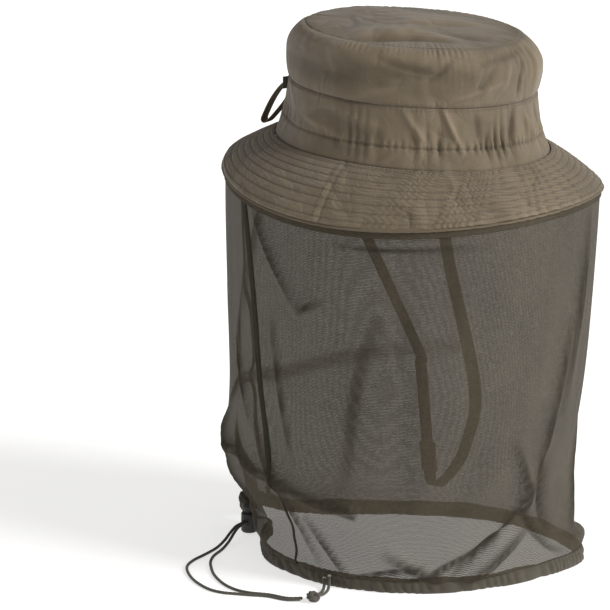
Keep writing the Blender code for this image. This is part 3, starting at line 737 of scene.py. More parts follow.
def stitches(name, lines, body, slot, material):
    """Rows of separate stitches. Each line is (points, normals) along the cloth, in arrays."""
    sides = 6
    span = np.array([0.02, 0.12, 0.4, 0.68, 0.78])
    lift = np.array([-0.9, 0.2, 0.7, 0.2, -0.9]) * STITCH_R
    reach = np.array([0.45, 0.95, 1.0, 0.95, 0.45]) * STITCH_R
    turn = np.arange(sides) * 2 * math.pi / sides
    points, faces = [], []
    start = 0
    for path, normals in lines:
        walked = walked_lengths(path)
        count = int(walked[-1] / STITCH_PITCH)
        stops = (np.arange(count)[:, None] + span[None, :]) * walked[-1] / count
        mid = at_lengths(stops, walked, path)
        up = at_lengths(stops, walked, normals)
        up /= np.linalg.norm(up, axis=-1, keepdims=True)
        ahead = np.gradient(mid, axis=1)
        ahead /= np.linalg.norm(ahead, axis=-1, keepdims=True)
        side = np.cross(ahead, up)
        ring = (side[:, :, None] * np.cos(turn)[:, None] + up[:, :, None] * np.sin(turn)[:, None])
        made = mid[:, :, None] + up[:, :, None] * lift[:, None, None] + ring * reach[:, None, None]
        points.append(made.reshape(-1, 3))
        r, c = grid_corners(len(span), sides, True)
        one = (r * sides + c % sides)[:, ::-1]
        ends = (len(span) - 1) * sides
        lids = np.array([[0, 1, 2, 3], [0, 3, 4, 5], [ends + 3, ends + 2, ends + 1, ends],
                         [ends + 5, ends + 4, ends + 3, ends]])
        one = np.concatenate([one, lids])
        each = len(span) * sides
        faces.append((one[None] + (start + np.arange(count) * each)[:, None, None]).reshape(-1, 4))
        start += count * each
    piece = mesh_object(name, np.concatenate(points), np.concatenate(faces)[:, ::-1])
    return dress(piece, body, slot, material)


# ---------------------------------------------------------------- crown

FOLD_ROOM = 3.5 * MM           # the crown's smooth shape is this much inside the folds' tops


def hat_ring(long, wide, height, turn):
    """Points of an ellipse round the hat at a height that tilts with the hat."""
    x, y = wide * np.cos(turn), long * np.sin(turn)
    return np.stack(np.broadcast_arrays(x, y, height + TILT * y), -1)


def fields(rows, cols):
    """Turn and share for every point of a grid."""
    turn = np.arange(cols) * 2 * math.pi / cols
    return np.meshgrid(turn, np.linspace(0, 1, rows))


def lower_surface(turn, share):
    """The lower side panel before wrinkles, from the brim up to the middle seam."""
    flare = np.clip(1 - share / 0.55, 0, 1) ** 1.5
    room = FOLD_ROOM * share ** 1.5
    return hat_ring(SIDE_LONG - room + SIDE_FLARE_LONG * flare, SIDE_WIDE - room + SIDE_FLARE_WIDE * flare,
                    MID_SEAM_Z * share, turn)


LOWER_CREASES = [
    ((203, 0.95), (213, 0.42), 2.6 * MM, 2.2), ((221, 0.99), (229, 0.30), 2.2 * MM, 2.8),
    ((236, 0.90), (238, 0.40), 2.8 * MM, -1.8), ((259, 0.96), (256, 0.38), 2.2 * MM, -3.0),
    ((268, 0.85), (270, 0.36), 1.8 * MM, 2.4), ((280, 0.95), (283, 0.40), 2.4 * MM, -2.2),
    ((150, 0.62), (178, 0.36), 3.2 * MM, 2.0), ((165, 0.88), (196, 0.60), 4.0 * MM, 1.3),
]


def lower_relief(turn, share):
    """Gathers that the elastic draws up, in metres out from the panel's surface."""
    strength = 0.55 + 0.95 * facing(turn, 252, 42) + 0.25 * ripple(turn, 4, 2, 6)
    above = np.clip((share - ELASTIC_SHARE) / (1 - ELASTIC_SHARE), 0, 1)
    below = np.clip((ELASTIC_SHARE - share) / ELASTIC_SHARE, 0, 1)
    reach = 0.55 + 0.25 * ripple(turn, 9, 4, 16)
    long_folds = np.where(share > ELASTIC_SHARE, np.exp(-(above / np.maximum(reach, 0.2)) ** 2),
                          np.exp(-(below / 0.45) ** 1.2))
    depth = 2.3 * strength * gather(turn, 21, 40, 2.2) * long_folds
    depth += 1.1 * strength * gather(turn, 5, 118, 3.0) * near(share, ELASTIC_SHARE + 0.03, 0.09)
    depth += 0.30 * gather(turn, 7, 150, 3.0) * near(share, 1, 0.10)
    depth += 1.3 * ripple(turn, 31, 2, 9) * np.sin(math.pi * np.clip(share * 1.1, 0, 1))
    depth += creases(turn, share, LOWER_CREASES)
    depth -= 1.1 * near(share, ELASTIC_SHARE, 0.022) + 0.9 * near(share, 1, 0.035)
    depth -= 0.7 * near(share, 0, 0.03)
    return depth * MM


def upper_surface(turn, share):
    """The upper side panel before wrinkles: upright, then in over the shoulder to the tip's seam."""
    roll = np.clip((share - 0.50) / 0.50, 0, 1) ** 2.2
    swell = 1.0 * MM * np.sin(math.pi * np.clip(share / 0.8, 0, 1))
    return hat_ring(SIDE_LONG - FOLD_ROOM + swell - (SIDE_LONG - TIP_LONG) * roll,
                    SIDE_WIDE - FOLD_ROOM + swell - (SIDE_WIDE - TIP_WIDE) * roll,
                    MID_SEAM_Z + (TIP_SEAM_Z - MID_SEAM_Z) * share, turn)


UPPER_CREASES = [
    ((176, 1.06), (206, 1.42), 3.6 * MM, 2.0), ((214, 1.50), (226, 1.86), 2.6 * MM, -2.2),
    ((234, 1.12), (246, 1.66), 3.4 * MM, -2.0), ((252, 1.30), (258, 1.80), 3.0 * MM, 1.8),
    ((262, 1.12), (268, 1.72), 1.7 * MM, -2.6), ((276, 1.08), (280, 1.85), 2.0 * MM, 2.8),
    ((222, 1.12), (250, 1.40), 2.2 * MM, 2.6), ((240, 1.78), (272, 1.90), 2.4 * MM, -2.2),
    ((190, 1.80), (216, 1.62), 2.6 * MM, -2.4),
]


def upper_relief(turn, share):
    """Dents at the wearer's right, and puckers under the tip's seam."""
    strength = 0.35 + 1.0 * facing(turn, 288, 40)
    fade = np.clip((1 - share) / 0.03, 0, 1)
    depth = 0.7 * strength * gather(turn, 13, 46, 4.0) * np.exp(-((1 - share) / 0.75) ** 2) * fade
    depth += 0.5 * gather(turn, 17, 130, 3.0) * near(share, 0.95, 0.07) * (0.5 + ripple(turn, 14, 3, 9))
    depth += 0.25 * gather(turn, 7, 150, 3.0) * near(share, 0, 0.10)
    depth += 1.5 * ripple(turn, 41, 2, 8) * np.sin(math.pi * share)
    dent = np.maximum(facing(turn, 160, 36), facing(turn, 205, 26))
    depth -= 5.0 * dent * near(share, 0.50, 0.24)
    depth += 2.4 * dent * near(share, 0.86, 0.16)
    depth += creases(turn, share + 1, UPPER_CREASES)
    depth -= 0.9 * near(share, 0, 0.035) + 1.1 * near(share, 1, 0.025)
    return depth * MM


# Each line's start and end in shares of the tip's radii, then its width and its height in millimetres
TIP_CREASES = [
    ((-.98, .12), (-.50, -.62), 0.06, -3.6), ((-.72, .05), (-.36, -.55), 0.12, 2.8),
    ((-.85, .42), (-.30, .30), 0.08, -2.2), ((-.15, -.92), (-.40, -.25), 0.07, -1.8),
    ((.35, -.70), (-.10, -.05), 0.10, 1.6),
]


def tip_relief(x, y):
    """Soft creases of a slack crown tip. x and y are shares of its radii."""
    out = np.hypot(x, y)
    turn = np.arctan2(y, x)
    depth = 1.6 * np.cos(2.3 * x + 1.0 * y + 0.6) * np.cos(2.9 * y - 1.4 * x) * (1 - out ** 4)
    depth += 1.1 * np.sin(6.5 * x - 3.0 * y + 1.2 * np.sin(3 * y)) * (1 - out ** 6)
    for (x0, y0), (x1, y1), width, height in TIP_CREASES:
        along, off = beside_line(x - x0, y - y0, x1 - x0, y1 - y0)
        depth += height * np.exp(-(off / width) ** 2) * np.sin(math.pi * (0.15 + 0.7 * along))
    depth += 0.5 * gather(turn, 17, 130, 3.0) * near(out, 0.96, 0.04)
    depth += 0.5 * gather(turn, 13, 46, 4.0) * near(out, 0.92, 0.08)
    depth -= 1.0 * near(out, 1, 0.014)
    return depth * MM


def disc_grid(size):
    """A square grid drawn out to a disc of radius 1, with no pole in it."""
    a, b = np.meshgrid(np.linspace(-1, 1, size), np.linspace(-1, 1, size))
    return a * np.sqrt(1 - b ** 2 / 2), b * np.sqrt(1 - a ** 2 / 2)


def tip_surface(x, y):
    """The crown's tip before its creases. x and y are shares of its radii."""
    out = np.hypot(x, y)
    rise = TIP_TOP_Z - TIP_SEAM_Z
    z = TIP_SEAM_Z + rise * (1 - out ** 2.6) + TILT * y * TIP_LONG
    return np.stack([x * (TIP_WIDE - FOLD_ROOM), y * (TIP_LONG - FOLD_ROOM), z], -1)


def side_panel(name, surface, relief_of, cloth):
    """A side panel of the crown, embossed with its folds. Returns its piece and its grid of points."""
    turn, share = fields(64, 720)
    relief = relief_of(turn, share)
    grid = emboss(surface(turn, share), relief)
    # the folds' height also goes to the cloth as painted light on their tops and painted shade in their
    # valleys
    piece = sheet_mesh(name + "_cloth", grid, True, CLOTH, 1, np.clip(relief / (2 * MM), -1, 1))
    return dress(piece, "hat", "shell_cloth", cloth, name), grid


def crown(shell_cloth, thread):
    """Lower and upper side panels, tip, and the rows of stitches round them."""
    piece, lower = side_panel("crown_side_lower", lower_surface, lower_relief, shell_cloth)
    piece, _ = side_panel("crown_side_upper", upper_surface, upper_relief, shell_cloth)
    x, y = disc_grid(190)
    relief = tip_relief(x, y)
    tip = emboss(tip_surface(x, y), relief, False)
    # the creases' height also goes to the cloth as painted light on their tops and painted shade in their
    # valleys
    piece = sheet_mesh("crown_tip_cloth", tip, False, CLOTH, 1, np.clip(relief / (2 * MM), -1, 1))
    dress(piece, "hat", "shell_cloth", shell_cloth, "crown_tip")

    lines = [row_line(lower, ELASTIC_SHARE), row_line(lower, 0.955)]
    stitches("crown_stitching", lines, "hat", "shell_cloth", thread)


def row_line(grid, share, loop=True, out=1):
    """A row of a grid as a line with its normals, closed where the grid loops."""
    row = share * (len(grid) - 1)
    low = min(int(row), len(grid) - 2)
    normals = grid_normals(grid, loop) * out
    found = [a[low] + (a[low + 1] - a[low]) * (row - low) for a in (grid, normals)]
    if loop:
        found = [np.concatenate([a, a[:1]]) for a in found]
    return tuple(found)


# ---------------------------------------------------------------- brim

BRIM_UNDERSIDE = 3.8 * MM


def brim_surface(turn, share, depth=0.0):
    """The brim before its puckers, from the head opening to its edge, some depth under its top."""
    start_long, start_wide = HEAD_LONG + 0.5 * MM, HEAD_WIDE + 0.5 * MM
    drop = BRIM_DROP * (0.85 * share + 0.15 * share ** 2)
    sag = BRIM_SIDE_SAG * share ** 2 * np.cos(turn) ** 2
    return hat_ring(start_long + (BRIM_LONG - start_long) * share,
                    start_wide + (BRIM_WIDE - start_wide) * share,
                    1.0 * MM - drop - sag - depth, turn)


def quilting(turn, share, strength=1.0):
    """Relief of the quilted brim: channels between stitch rows, and slanting puckers across them."""
    row = share * BRIM_ROWS + 0.35
    channel = np.abs(np.sin(math.pi * row)) ** 0.8
    drag = 0.30 + 0.95 * facing(turn, 250, 42) + 0.35 * facing(turn, 60, 50) + 0.12 * ripple(turn, 3, 3, 9)
    phase = 48 * turn - 5.2 * share * math.pi + 4.5 * ripple(turn + 0.3 * share, 8, 4, 19)
    slant = np.abs(np.sin(phase + 0.9 * np.sin(2 * math.pi * row))) - 0.64
    fine = np.abs(np.sin(2.1 * phase + 4.0 * share)) - 0.64
    depth = 0.30 * channel - 0.36 * near((row + 0.5) % 1, 0.5, 0.07)
    depth += drag * channel ** 0.4 * (1.05 * slant + 0.35 * fine)
    depth += 0.8 * ripple(turn, 12, 2, 7) * share ** 2
    for seam in (0, 180):
        depth -= 0.55 * facing(turn, seam, 0.55)
        depth += 0.30 * (facing(turn, seam - 1.6, 1.2) + facing(turn, seam + 1.6, 1.2))
    return depth * MM * strength


def brim(shell_cloth, lining_cloth, fill, thread):
    """Upper cloth, filling and lower cloth of the quilted brim, with their stitches."""
    turn, share = fields(112, 660)
    relief = quilting(turn, share)
    edge = 1.5 * MM * np.clip((share - 0.965) / 0.035, 0, 1) ** 2
    upper = emboss(brim_surface(turn, share, edge), relief, True, -1)
    # the puckers' height also goes to the cloth as painted light and shade, lighter where they stand proud
    # and darker in the channels
    piece = sheet_mesh("brim_upper_cloth", upper, True, CLOTH, -1, np.clip(relief / (0.9 * MM), -1, 1))
    dress(piece, "hat", "shell_cloth", shell_cloth, "brim_upper")

    lines = []
    normals = grid_normals(upper, True) * -1
    for row in range(1, BRIM_ROWS + 1):
        lines.append(row_line(upper, (row - 0.35) / BRIM_ROWS, True, -1))
    for seam in (180, 0):
        for beside in (-2.2, 2.2):
            column = round((seam + beside) / 360 * upper.shape[1]) % upper.shape[1]
            lines.append((upper[2:-4, column], normals[2:-4, column]))
    lines.append(row_line(upper, 0.035, True, -1))
    stitches("brim_stitching", lines, "hat", "shell_cloth", thread)

    turn, share = fields(40, 360)
    middle = brim_surface(turn, share * 0.93, 1.9 * MM)
    piece = sheet_mesh("brim_filling", middle, True, 0.6 * MM, -1)
    dress(piece, "hat", "interlining", fill, "brim_interlining")
    turn, share = fields(72, 480)
    relief = quilting(turn, share, 0.6)
    lower = emboss(brim_surface(turn, share, BRIM_UNDERSIDE), -relief, True, -1)
    # the puckers' height also goes to the lining as painted light and shade along them
    piece = sheet_mesh("brim_lower_cloth", lower, True, CLOTH, 1, np.clip(relief / (0.9 * MM), -1, 1))
    dress(piece, "hat", "shell_cloth", lining_cloth, "brim_lower")
    rows = [row_line(lower, (row - 0.35) / BRIM_ROWS, True, 1) for row in range(1, BRIM_ROWS + 1)]
    stitches("brim_under_stitching", rows, "hat", "shell_cloth", thread)


# ---------------------------------------------------------------- inside the hat

def side_band(turn, levels, inset):
    """A ring inside the side panels. levels are heights, and inset is how far in it lies."""
    share = levels / MID_SEAM_Z
    flare = np.clip(1 - share / 0.55, 0, 1) ** 1.5
    return hat_ring(SIDE_LONG + SIDE_FLARE_LONG * flare - inset,
                    SIDE_WIDE + SIDE_FLARE_WIDE * flare - inset, levels, turn)


SWEATBAND_INSET, ELASTIC_INSET = 8.2 * MM, 6.2 * MM       # room for the crown's inward folds


def sweatband(lining_cloth, elastic, thread):
    """The folded band inside the head opening, and the elastic in its channel."""
    turn, share = fields(30, 480)
    heights = (2 + 28 * share) * MM
    relief = 0.5 * MM * gather(turn, 21, 66) * near(share, 0.48, 0.35)
    relief -= 0.4 * MM * near(share, 0.48, 0.04)
    band = emboss(side_band(turn, heights, SWEATBAND_INSET), -relief)
    # the gathers' height also goes to the lining as painted light on their tops and painted shade in their
    # valleys
    piece = sheet_mesh("sweatband_cloth", band, True, 0.8 * MM, 1, -relief / MM)
    dress(piece, "hat", "sweatband_cloth", lining_cloth, "sweatband")
    lines = [row_line(band, at, True, -1) for at in (0.06, 0.48, 0.94)]
    lines = [(path + 0.8 * MM * normals, normals) for path, normals in lines]
    stitches("sweatband_stitching", lines, "hat", "sweatband_cloth", thread)
    turn, share = fields(10, 480)
    ribs = 0.15 * MM * np.sin(2 * math.pi * share * 4)
    band = emboss(side_band(turn, (11.5 + 8 * share) * MM, ELASTIC_INSET), ribs)
    piece = sheet_mesh("sweatband_elastic_braid", band, True, 0.7 * MM, 1, ribs / MM)
    dress(piece, "hat", "elastic", elastic, "sweatband_elastic")


POCKET_LONG, POCKET_WIDE = SIDE_LONG - 6 * MM, SIDE_WIDE - 6 * MM
PANEL_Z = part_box("stow_pocket_panel")[1].z
FLAP_LOW, FLAP_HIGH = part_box("stow_pocket_flap")
RIM_DROP = 24 * MM


def pocket_height(x, y, flat_z):
    """Flat in the middle, then down to the side seam."""
    out = np.hypot(x / POCKET_WIDE, y / POCKET_LONG)
    return flat_z - RIM_DROP * np.clip((out - 0.66) / 0.34, 0, 1) ** 2


def half_moon(side, edge, flat_z):
    """A grid over one half of the crown, from its side to a straight edge just past the middle."""
    share, around = np.meshgrid(np.linspace(0, 1, 60), np.linspace(-0.5, 0.5, 90), indexing="ij")
    x = side * (POCKET_WIDE * 0.99 - (POCKET_WIDE * 0.99 - edge) * share)
    y = POCKET_LONG * np.sqrt(1 - (x / POCKET_WIDE) ** 2) * np.sin(math.pi * around)
    slack = 0.7 * MM * np.sin(95 * x + 2 * np.sin(40 * y)) * np.sin(38 * y + 1.5) * np.sin(math.pi * share)
    return np.stack([x, y, pocket_height(x, y, flat_z) + slack], -1)


def cut_away(piece, low, high):
    """Cuts a box out of a piece, for good."""
    cutter = box_mesh("cutter", low, high)
    boolean = piece.modifiers.new("cut", "BOOLEAN")
    boolean.operation = "DIFFERENCE"
    boolean.solver = "EXACT"
    boolean.object = cutter
    settle(piece)
    bpy.data.objects.remove(cutter)


def box_mesh(name, low, high):
    """A closed box between two corners, used as a cutter."""
    points = np.array([(x, y, z) for x in (low[0], high[0]) for y in (low[1], high[1])
                       for z in (low[2], high[2])])
    faces = np.array([(0, 1, 3, 2), (4, 6, 7, 5), (0, 4, 5, 1), (2, 3, 7, 6), (0, 2, 6, 4), (1, 5, 7, 3)])
    return mesh_object(name, points, faces)


def settle(piece):
    """Applies a piece's modifiers."""
    bpy.context.view_layer.update()
    graph = bpy.context.evaluated_depsgraph_get()
    made = bpy.data.meshes.new_from_object(piece.evaluated_get(graph))
    piece.modifiers.clear()
    piece.data = made


def stow_pocket(lining_cloth):
    """The pocket under the crown's tip: panel, sewn base and flap."""
    side = half_moon(-1, -8 * MM, PANEL_Z - 0.8 * MM)
    piece = sheet_mesh("pocket_panel_cloth", side, False, 0.6 * MM, 1)
    if piece.data.polygons[0].normal.z > 0:
        piece.data.flip_normals()
    dress(piece, "hat", "shell_cloth", lining_cloth, "stow_pocket_panel")
    base = half_moon(1, -8 * MM, FLAP_LOW.z)
    piece = sheet_mesh("pocket_base_cloth", base, False, 0.6 * MM, -1)
    cut_away(piece, (FLAP_LOW.x - 10 * MM, FLAP_LOW.y - 0.4 * MM, FLAP_LOW.z - 9 * MM),
             (FLAP_HIGH.x + 0.4 * MM, FLAP_HIGH.y + 0.4 * MM, FLAP_HIGH.z + 9 * MM))
    dress(piece, "hat", "shell_cloth", lining_cloth, "stow_pocket_flap_base")
    x, y = np.meshgrid(np.linspace(FLAP_LOW.x, FLAP_HIGH.x + 0.3 * MM, 40),
                       np.linspace(FLAP_LOW.y, FLAP_HIGH.y, 110), indexing="ij")
    wave = 0.5 * MM * np.sin(90 * y + 1) * np.sin(120 * x)
    wave += 0.5 * MM * near(x, FLAP_LOW.x + 6 * MM, 1.5 * MM)
    flap = np.stack([x, y, FLAP_LOW.z + 0.1 * MM + wave * 0.4], -1)
    piece = sheet_mesh("pocket_flap_cloth", flap, False, 0.6 * MM, -1)
    dress(piece, None, "shell_cloth", lining_cloth, "stow_pocket_flap")
    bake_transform(piece)


# The snap's four pieces: profiles of (radius, height) in millimetres from the flap or the panel
SNAP_PROFILES = {
    "snap_cap": [(0.2, -1.9), (2.6, -1.85), (4.3, -1.55), (5.6, -0.9), (6.1, -0.35), (6.2, 0), (1.6, 0.05),
                 (1.6, 1.2), (0.2, 1.2)],
    "snap_socket": [(0.2, 1.5), (2.5, 1.5), (2.7, 2.4), (4.4, 2.4), (4.9, 1.5), (5.0, 1.1), (1.9, 1.1),
                    (1.9, 1.25), (0.2, 1.25)],
    "snap_stud": [(0.2, -1.5), (1.5, -1.5), (2.1, -1.05), (1.7, -0.6), (4.9, -0.5), (5.0, 0), (0.2, 0)],
    "snap_post": [(0.2, 0.4), (1.6, 0.4), (1.6, 1.4), (4.3, 1.4), (4.4, 1.9), (0.2, 2.2)],
}


def snap(metal):
    """Cap and socket on the flap, stud and post on the panel."""
    for node, profile in SNAP_PROFILES.items():
        on_flap = node in ("snap_cap", "snap_socket")
        seat = FLAP_LOW.z - 0.3 * MM if on_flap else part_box("snap_stud")[1].z
        points = rounded([(r * MM, z * MM) for r, z in profile], 0.25 * MM)
        piece = lathe_mesh(node + "_metal", points, (0, 0, seat))
        if node == "snap_socket":
            piece.data.flip_normals()
        dress(piece, "pocket_flap" if on_flap else "hat", "snap_metal", metal, node)


# ---------------------------------------------------------------- tapes, loop and strap

def upright_tape(name, node, steps, across, width, thickness):
    """A short tape that stands up through the middle of its node's box."""
    low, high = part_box(node)
    x, y = (low.x + high.x) / 2, (low.y + high.y) / 2
    path = np.linspace((x, y, low.z), (x, y, high.z), steps)
    return ribbon_mesh(name, path, width, thickness, across)


def trims(tape, loop_web, strap_web, tag_cloth):
    """Hang loop and its tab, chin strap anchors, blank side tag, and the tape at the net's top."""
    across, along = np.array([1.0, 0, 0]), np.array([0, 1.0, 0])
    path = smooth_route(LOOP_ROUTE, 1.2 * MM)
    piece = ribbon_mesh("hang_loop_webbing", path, 9.6 * MM, STRAP_CLOTH, across)
    dress(piece, "hang_loop", "loop_webbing", loop_web, "hang_loop")
    piece = upright_tape("hang_loop_tab_webbing", "hang_loop_tab", 12, across, 10 * MM, 1.0 * MM)
    dress(piece, "hat", "loop_webbing", loop_web, "hang_loop_tab")
    for node in ("chin_anchor_right", "chin_anchor_left"):
        low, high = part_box(node)
        piece = upright_tape(node + "_webbing", node, 14, along, high.y - low.y, high.x - low.x)
        dress(piece, "hat", "strap_webbing", strap_web, node)
    low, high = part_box("side_tag")
    heading = np.array([high.x - low.x, low.y - high.y, 0])
    heading = heading / np.linalg.norm(heading)
    piece = upright_tape("side_tag_blank", "side_tag", 12, heading, 14 * MM, 0.7 * MM)
    dress(piece, "hat", "tag_cloth", tag_cloth, "side_tag")
    turn, share = fields(12, 480)
    top = BRIM_UNDERSIDE + 0.3 * MM
    ring = brim_surface(turn, np.ones_like(turn), top + 4.5 * MM * share)
    ring[..., :2] *= 1 - 1.2 * MM / BRIM_LONG
    ring = emboss(ring, 0.25 * MM * gather(turn, 6, 120, 3.0) * share, True, -1)
    piece = sheet_mesh("net_top_tape_cloth", ring, True, 0.6 * MM, -1)
    dress(piece, "hat", "binding_tape", tape, "net_top_tape")


def strap_path():
    """The strap, kept straight where the slider runs."""
    start, end = np.array(STRAP_ROUTE[3]), np.array(STRAP_ROUTE[4])
    straight = [start + (end - start) * share for share in (0, 0.08, 0.33, 0.66, 1)]
    return smooth_route([*STRAP_ROUTE[:3], *straight, *STRAP_ROUTE[5:]], 2 * MM)


def chin_strap(strap_web, leather):
    """The strap, which twists on its far side, and the slider on it."""
    path = strap_path()
    share = np.linspace(0, 1, len(path))
    twist = np.radians(52) * np.clip((share - 0.60) / 0.15, 0, 1) * np.clip((0.98 - share) / 0.10, 0, 1)
    across = np.stack([-np.sin(twist), np.cos(twist), np.zeros_like(twist)], 1)
    ahead = headings(path)
    wide = across - ahead * (ahead * across).sum(1, keepdims=True)
    piece = ribbon_along("chin_strap_webbing", path, wide, STRAP_WIDTH, STRAP_CLOTH)
    dress(piece, "chin_strap", "strap_webbing", strap_web, "chin_strap")
    low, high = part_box("chin_slider")
    middle = np.array((low + high) / 2)
    heading = np.array(STRAP_ROUTE[4]) - np.array(STRAP_ROUTE[3])
    heading = heading / np.linalg.norm(heading)
    wide = np.array([0, 1.0, 0]) - heading * heading[1]
    wide = wide / np.linalg.norm(wide)
    thin = np.cross(heading, wide)
    turn, share = fields(34, 48)
    half_wide, half_thin, power = 6.6 * MM, 2.3 * MM, 0.45
    a = half_wide * squared(np.cos(turn), power)
    b = half_thin * squared(np.sin(turn), power)
    pinch = 1 - 0.05 * np.sin(math.pi * share)
    along = (share - 0.5) * 23 * MM
    rings = (middle + a[..., None] * pinch[..., None] * wide + b[..., None] * thin
             + along[..., None] * heading)
    piece = sheet_mesh("chin_slider_leather", rings, True, 1.1 * MM, 1)
    dress(piece, "chin_slider", "leather", leather, "chin_slider")


def ribbon_along(name, path, wide, width, thickness):
    """A flat tape whose width direction is given at each point, so that it may twist."""
    ahead = headings(path)
    wide = wide / np.linalg.norm(wide, axis=1, keepdims=True)
    thin = np.cross(ahead, wide)
    turn, _ = fields(len(path), 16)
    a = width / 2 * squared(np.cos(turn), 0.3)
    b = thickness / 2 * squared(np.sin(turn), 0.5)
    rings = path[:, None] + a[..., None] * wide[:, None] + b[..., None] * thin[:, None]
    return sheet_mesh(name, rings, True, thickness * 0.3, 1)


# ---------------------------------------------------------------- net

NET_COLUMNS, NET_ROWS = 252, 92
NET_CENTRE = np.array([-3 * MM, 0])
NET_TOP_DEPTH = BRIM_UNDERSIDE + 0.8 * MM
NET_INSET = 2.1 * MM
NET_DROP = 0.30                # the net's length down from the brim, about
NET_SLACK = 0.030              # how much longer the cloth is than the space it hangs in
DRAPE_FRAMES = 34


def hem_path(step):
    """The hem's line over the floor, from one end of the drawcord's gap to the other."""
    return smooth_route(HEM_ROUTE, step)


def hem_ring(count):
    """The hem's line as a closed ring of evenly spaced points, across the gap too."""
    path = hem_path(1 * MM)
    gap = smooth_route([tuple(path[-1]), *HEM_GAP_ROUTE, tuple(path[0])], 1 * MM)
    ring = np.concatenate([path, gap[1:-1]])
    ring = np.concatenate([ring, ring[:1]])
    walked = walked_lengths(ring)
    return at_lengths(np.linspace(0, walked[-1], count + 1)[:-1], walked, ring)


def net_pull(share):
    """How far the net has come in from the brim towards the hem."""
    turn_in = np.clip((share - 0.66) / 0.22, 0, 1)
    return 0.55 * share + 0.45 * turn_in ** 2 * (3 - 2 * turn_in)


def net_rest():
    """The net hanging smooth between the brim and the hem, and the turn of each column at the top."""
    hem = hem_ring(NET_COLUMNS)
    flat = hem[:, :2] - NET_CENTRE
    turn = np.unwrap(np.arctan2(flat[:, 1] / BRIM_LONG, flat[:, 0] / BRIM_WIDE))
    for _ in range(30):
        padded = np.concatenate([turn[-1:] - 2 * math.pi, turn, turn[:1] + 2 * math.pi])
        turn = (padded[:-2] + 2 * turn + padded[2:]) / 4
    share = np.linspace(0, 1, NET_ROWS)[:, None]
    top = brim_surface(turn, 1.0, NET_TOP_DEPTH)
    top[:, 0] *= 1 - NET_INSET / BRIM_WIDE
    top[:, 1] *= 1 - NET_INSET / BRIM_LONG
    foot = FLOOR_Z + hem[:, 2] + HEM_HEIGHT - 1.5 * MM
    pull = net_pull(share)[..., None]
    place = top[None, :, :2] * (1 - pull) + hem[None, :, :2] * pull
    away = flat / np.linalg.norm(flat, axis=1, keepdims=True)
    real_turn = np.arctan2(flat[:, 1], flat[:, 0])
    for degrees, spread, middle, reach, out in NET_LEANS:
        lean = out * facing(real_turn, degrees, spread)[None] * near(share, middle, reach)
        place = place + away[None] * lean[..., None]
    height = top[None, :, 2] + (foot - top[:, 2])[None, :] * share
    return np.concatenate([place, height[..., None]], 2), turn


def drape(points, turn):
    """Lets the net's slack cloth fall between its two sewn edges. Returns where its points come to rest."""
    rows, cols, _ = points.shape
    start = points.copy()
    outward = grid_normals(points, True)
    sway = np.linspace(0, 1, rows)[:, None]
    nudge = (1.5 * ripple(turn, 51, 3, 10)[None] * np.sin(math.pi * sway)
             + 1.0 * ripple(turn + 1.2 * sway, 52, 6, 18) * sway * (1 - sway) * 4)
    start = start + outward * (nudge * MM)[..., None]
    piece = sheet_mesh("net_drape", start, True)
    held = piece.vertex_groups.new(name="held")
    held.add(list(range(2 * cols)) + list(range((rows - 1) * cols, rows * cols)), 1.0, "REPLACE")
    cloth = piece.modifiers.new("drape", "CLOTH")
    rules = cloth.settings
    rules.quality = 5
    rules.mass = 0.02
    rules.air_damping = 4.0
    rules.tension_stiffness = 12
    rules.compression_stiffness = 6
    rules.shear_stiffness = 2.0
    rules.bending_stiffness = 0.4
    rules.shrink_min = -NET_SLACK
    rules.vertex_group_mass = "held"
    scene = bpy.context.scene
    for frame_number in range(1, DRAPE_FRAMES + 1):
        scene.frame_set(frame_number)
    graph = bpy.context.evaluated_depsgraph_get()
    made = piece.evaluated_get(graph).to_mesh()
    found = np.zeros(len(made.vertices) * 3, np.float32)
    made.vertices.foreach_get("co", found)
    piece.evaluated_get(graph).to_mesh_clear()
    scene.frame_set(1)
    bpy.data.objects.remove(piece)
    moved = found.reshape(rows, cols, 3).astype(float) - points
    for _ in range(4):         # takes out creases finer than the cloth would hold
        moved[1:-1] = (moved[:-2] + 2 * moved[1:-1] + moved[2:]) / 4
        moved = (np.roll(moved, 1, 1) + 2 * moved + np.roll(moved, -1, 1)) / 4
    far = np.linalg.norm(moved, axis=2, keepdims=True)
    limit = 11 * MM
    return points + moved * (limit * np.tanh(far / limit) / np.maximum(far, 1e-9))


def net_folds(points, turn):
    """The large folds of this net, and how far each point lies in a doubled fold, from 0 to 1."""
    rows, cols, _ = points.shape
    share = np.linspace(0, 1, rows)[:, None]
    around = np.broadcast_to(turn, (rows, cols))
    depth = np.zeros((rows, cols))
    doubled = np.zeros((rows, cols))
    for start, end, width, height in NET_FOLDS:
        x = ((around - math.radians(start[0]) + math.pi) % (2 * math.pi) - math.pi) * BRIM_WIDE
        y = (share - start[1]) * NET_DROP
        across = math.radians(end[0] - start[0]) * BRIM_WIDE
        along, off = beside_line(x, y, across, (end[1] - start[1]) * NET_DROP)
        fading = np.sin(math.pi * (0.12 + 0.8 * along))
        depth += height * np.exp(-(off / width) ** 2) * fading
        doubled += np.exp(-((off - 0.3 * width) / (0.42 * width)) ** 2) * fading
    free = np.clip(np.minimum(share / 0.04, (1 - share) / 0.03), 0, 1)
    return emboss(points, depth * free, True, -1), np.clip(doubled, 0, 1) * free


# Where the net hangs out or in from its even shape: turn and spread in degrees, shares down, distance
NET_LEANS = [(122, 30, 0.76, 0.16, 10 * MM), (302, 40, 0.74, 0.17, -15 * MM),
             (300, 16, 0.955, 0.035, 7 * MM), (128, 14, 0.95, 0.035, 5 * MM)]
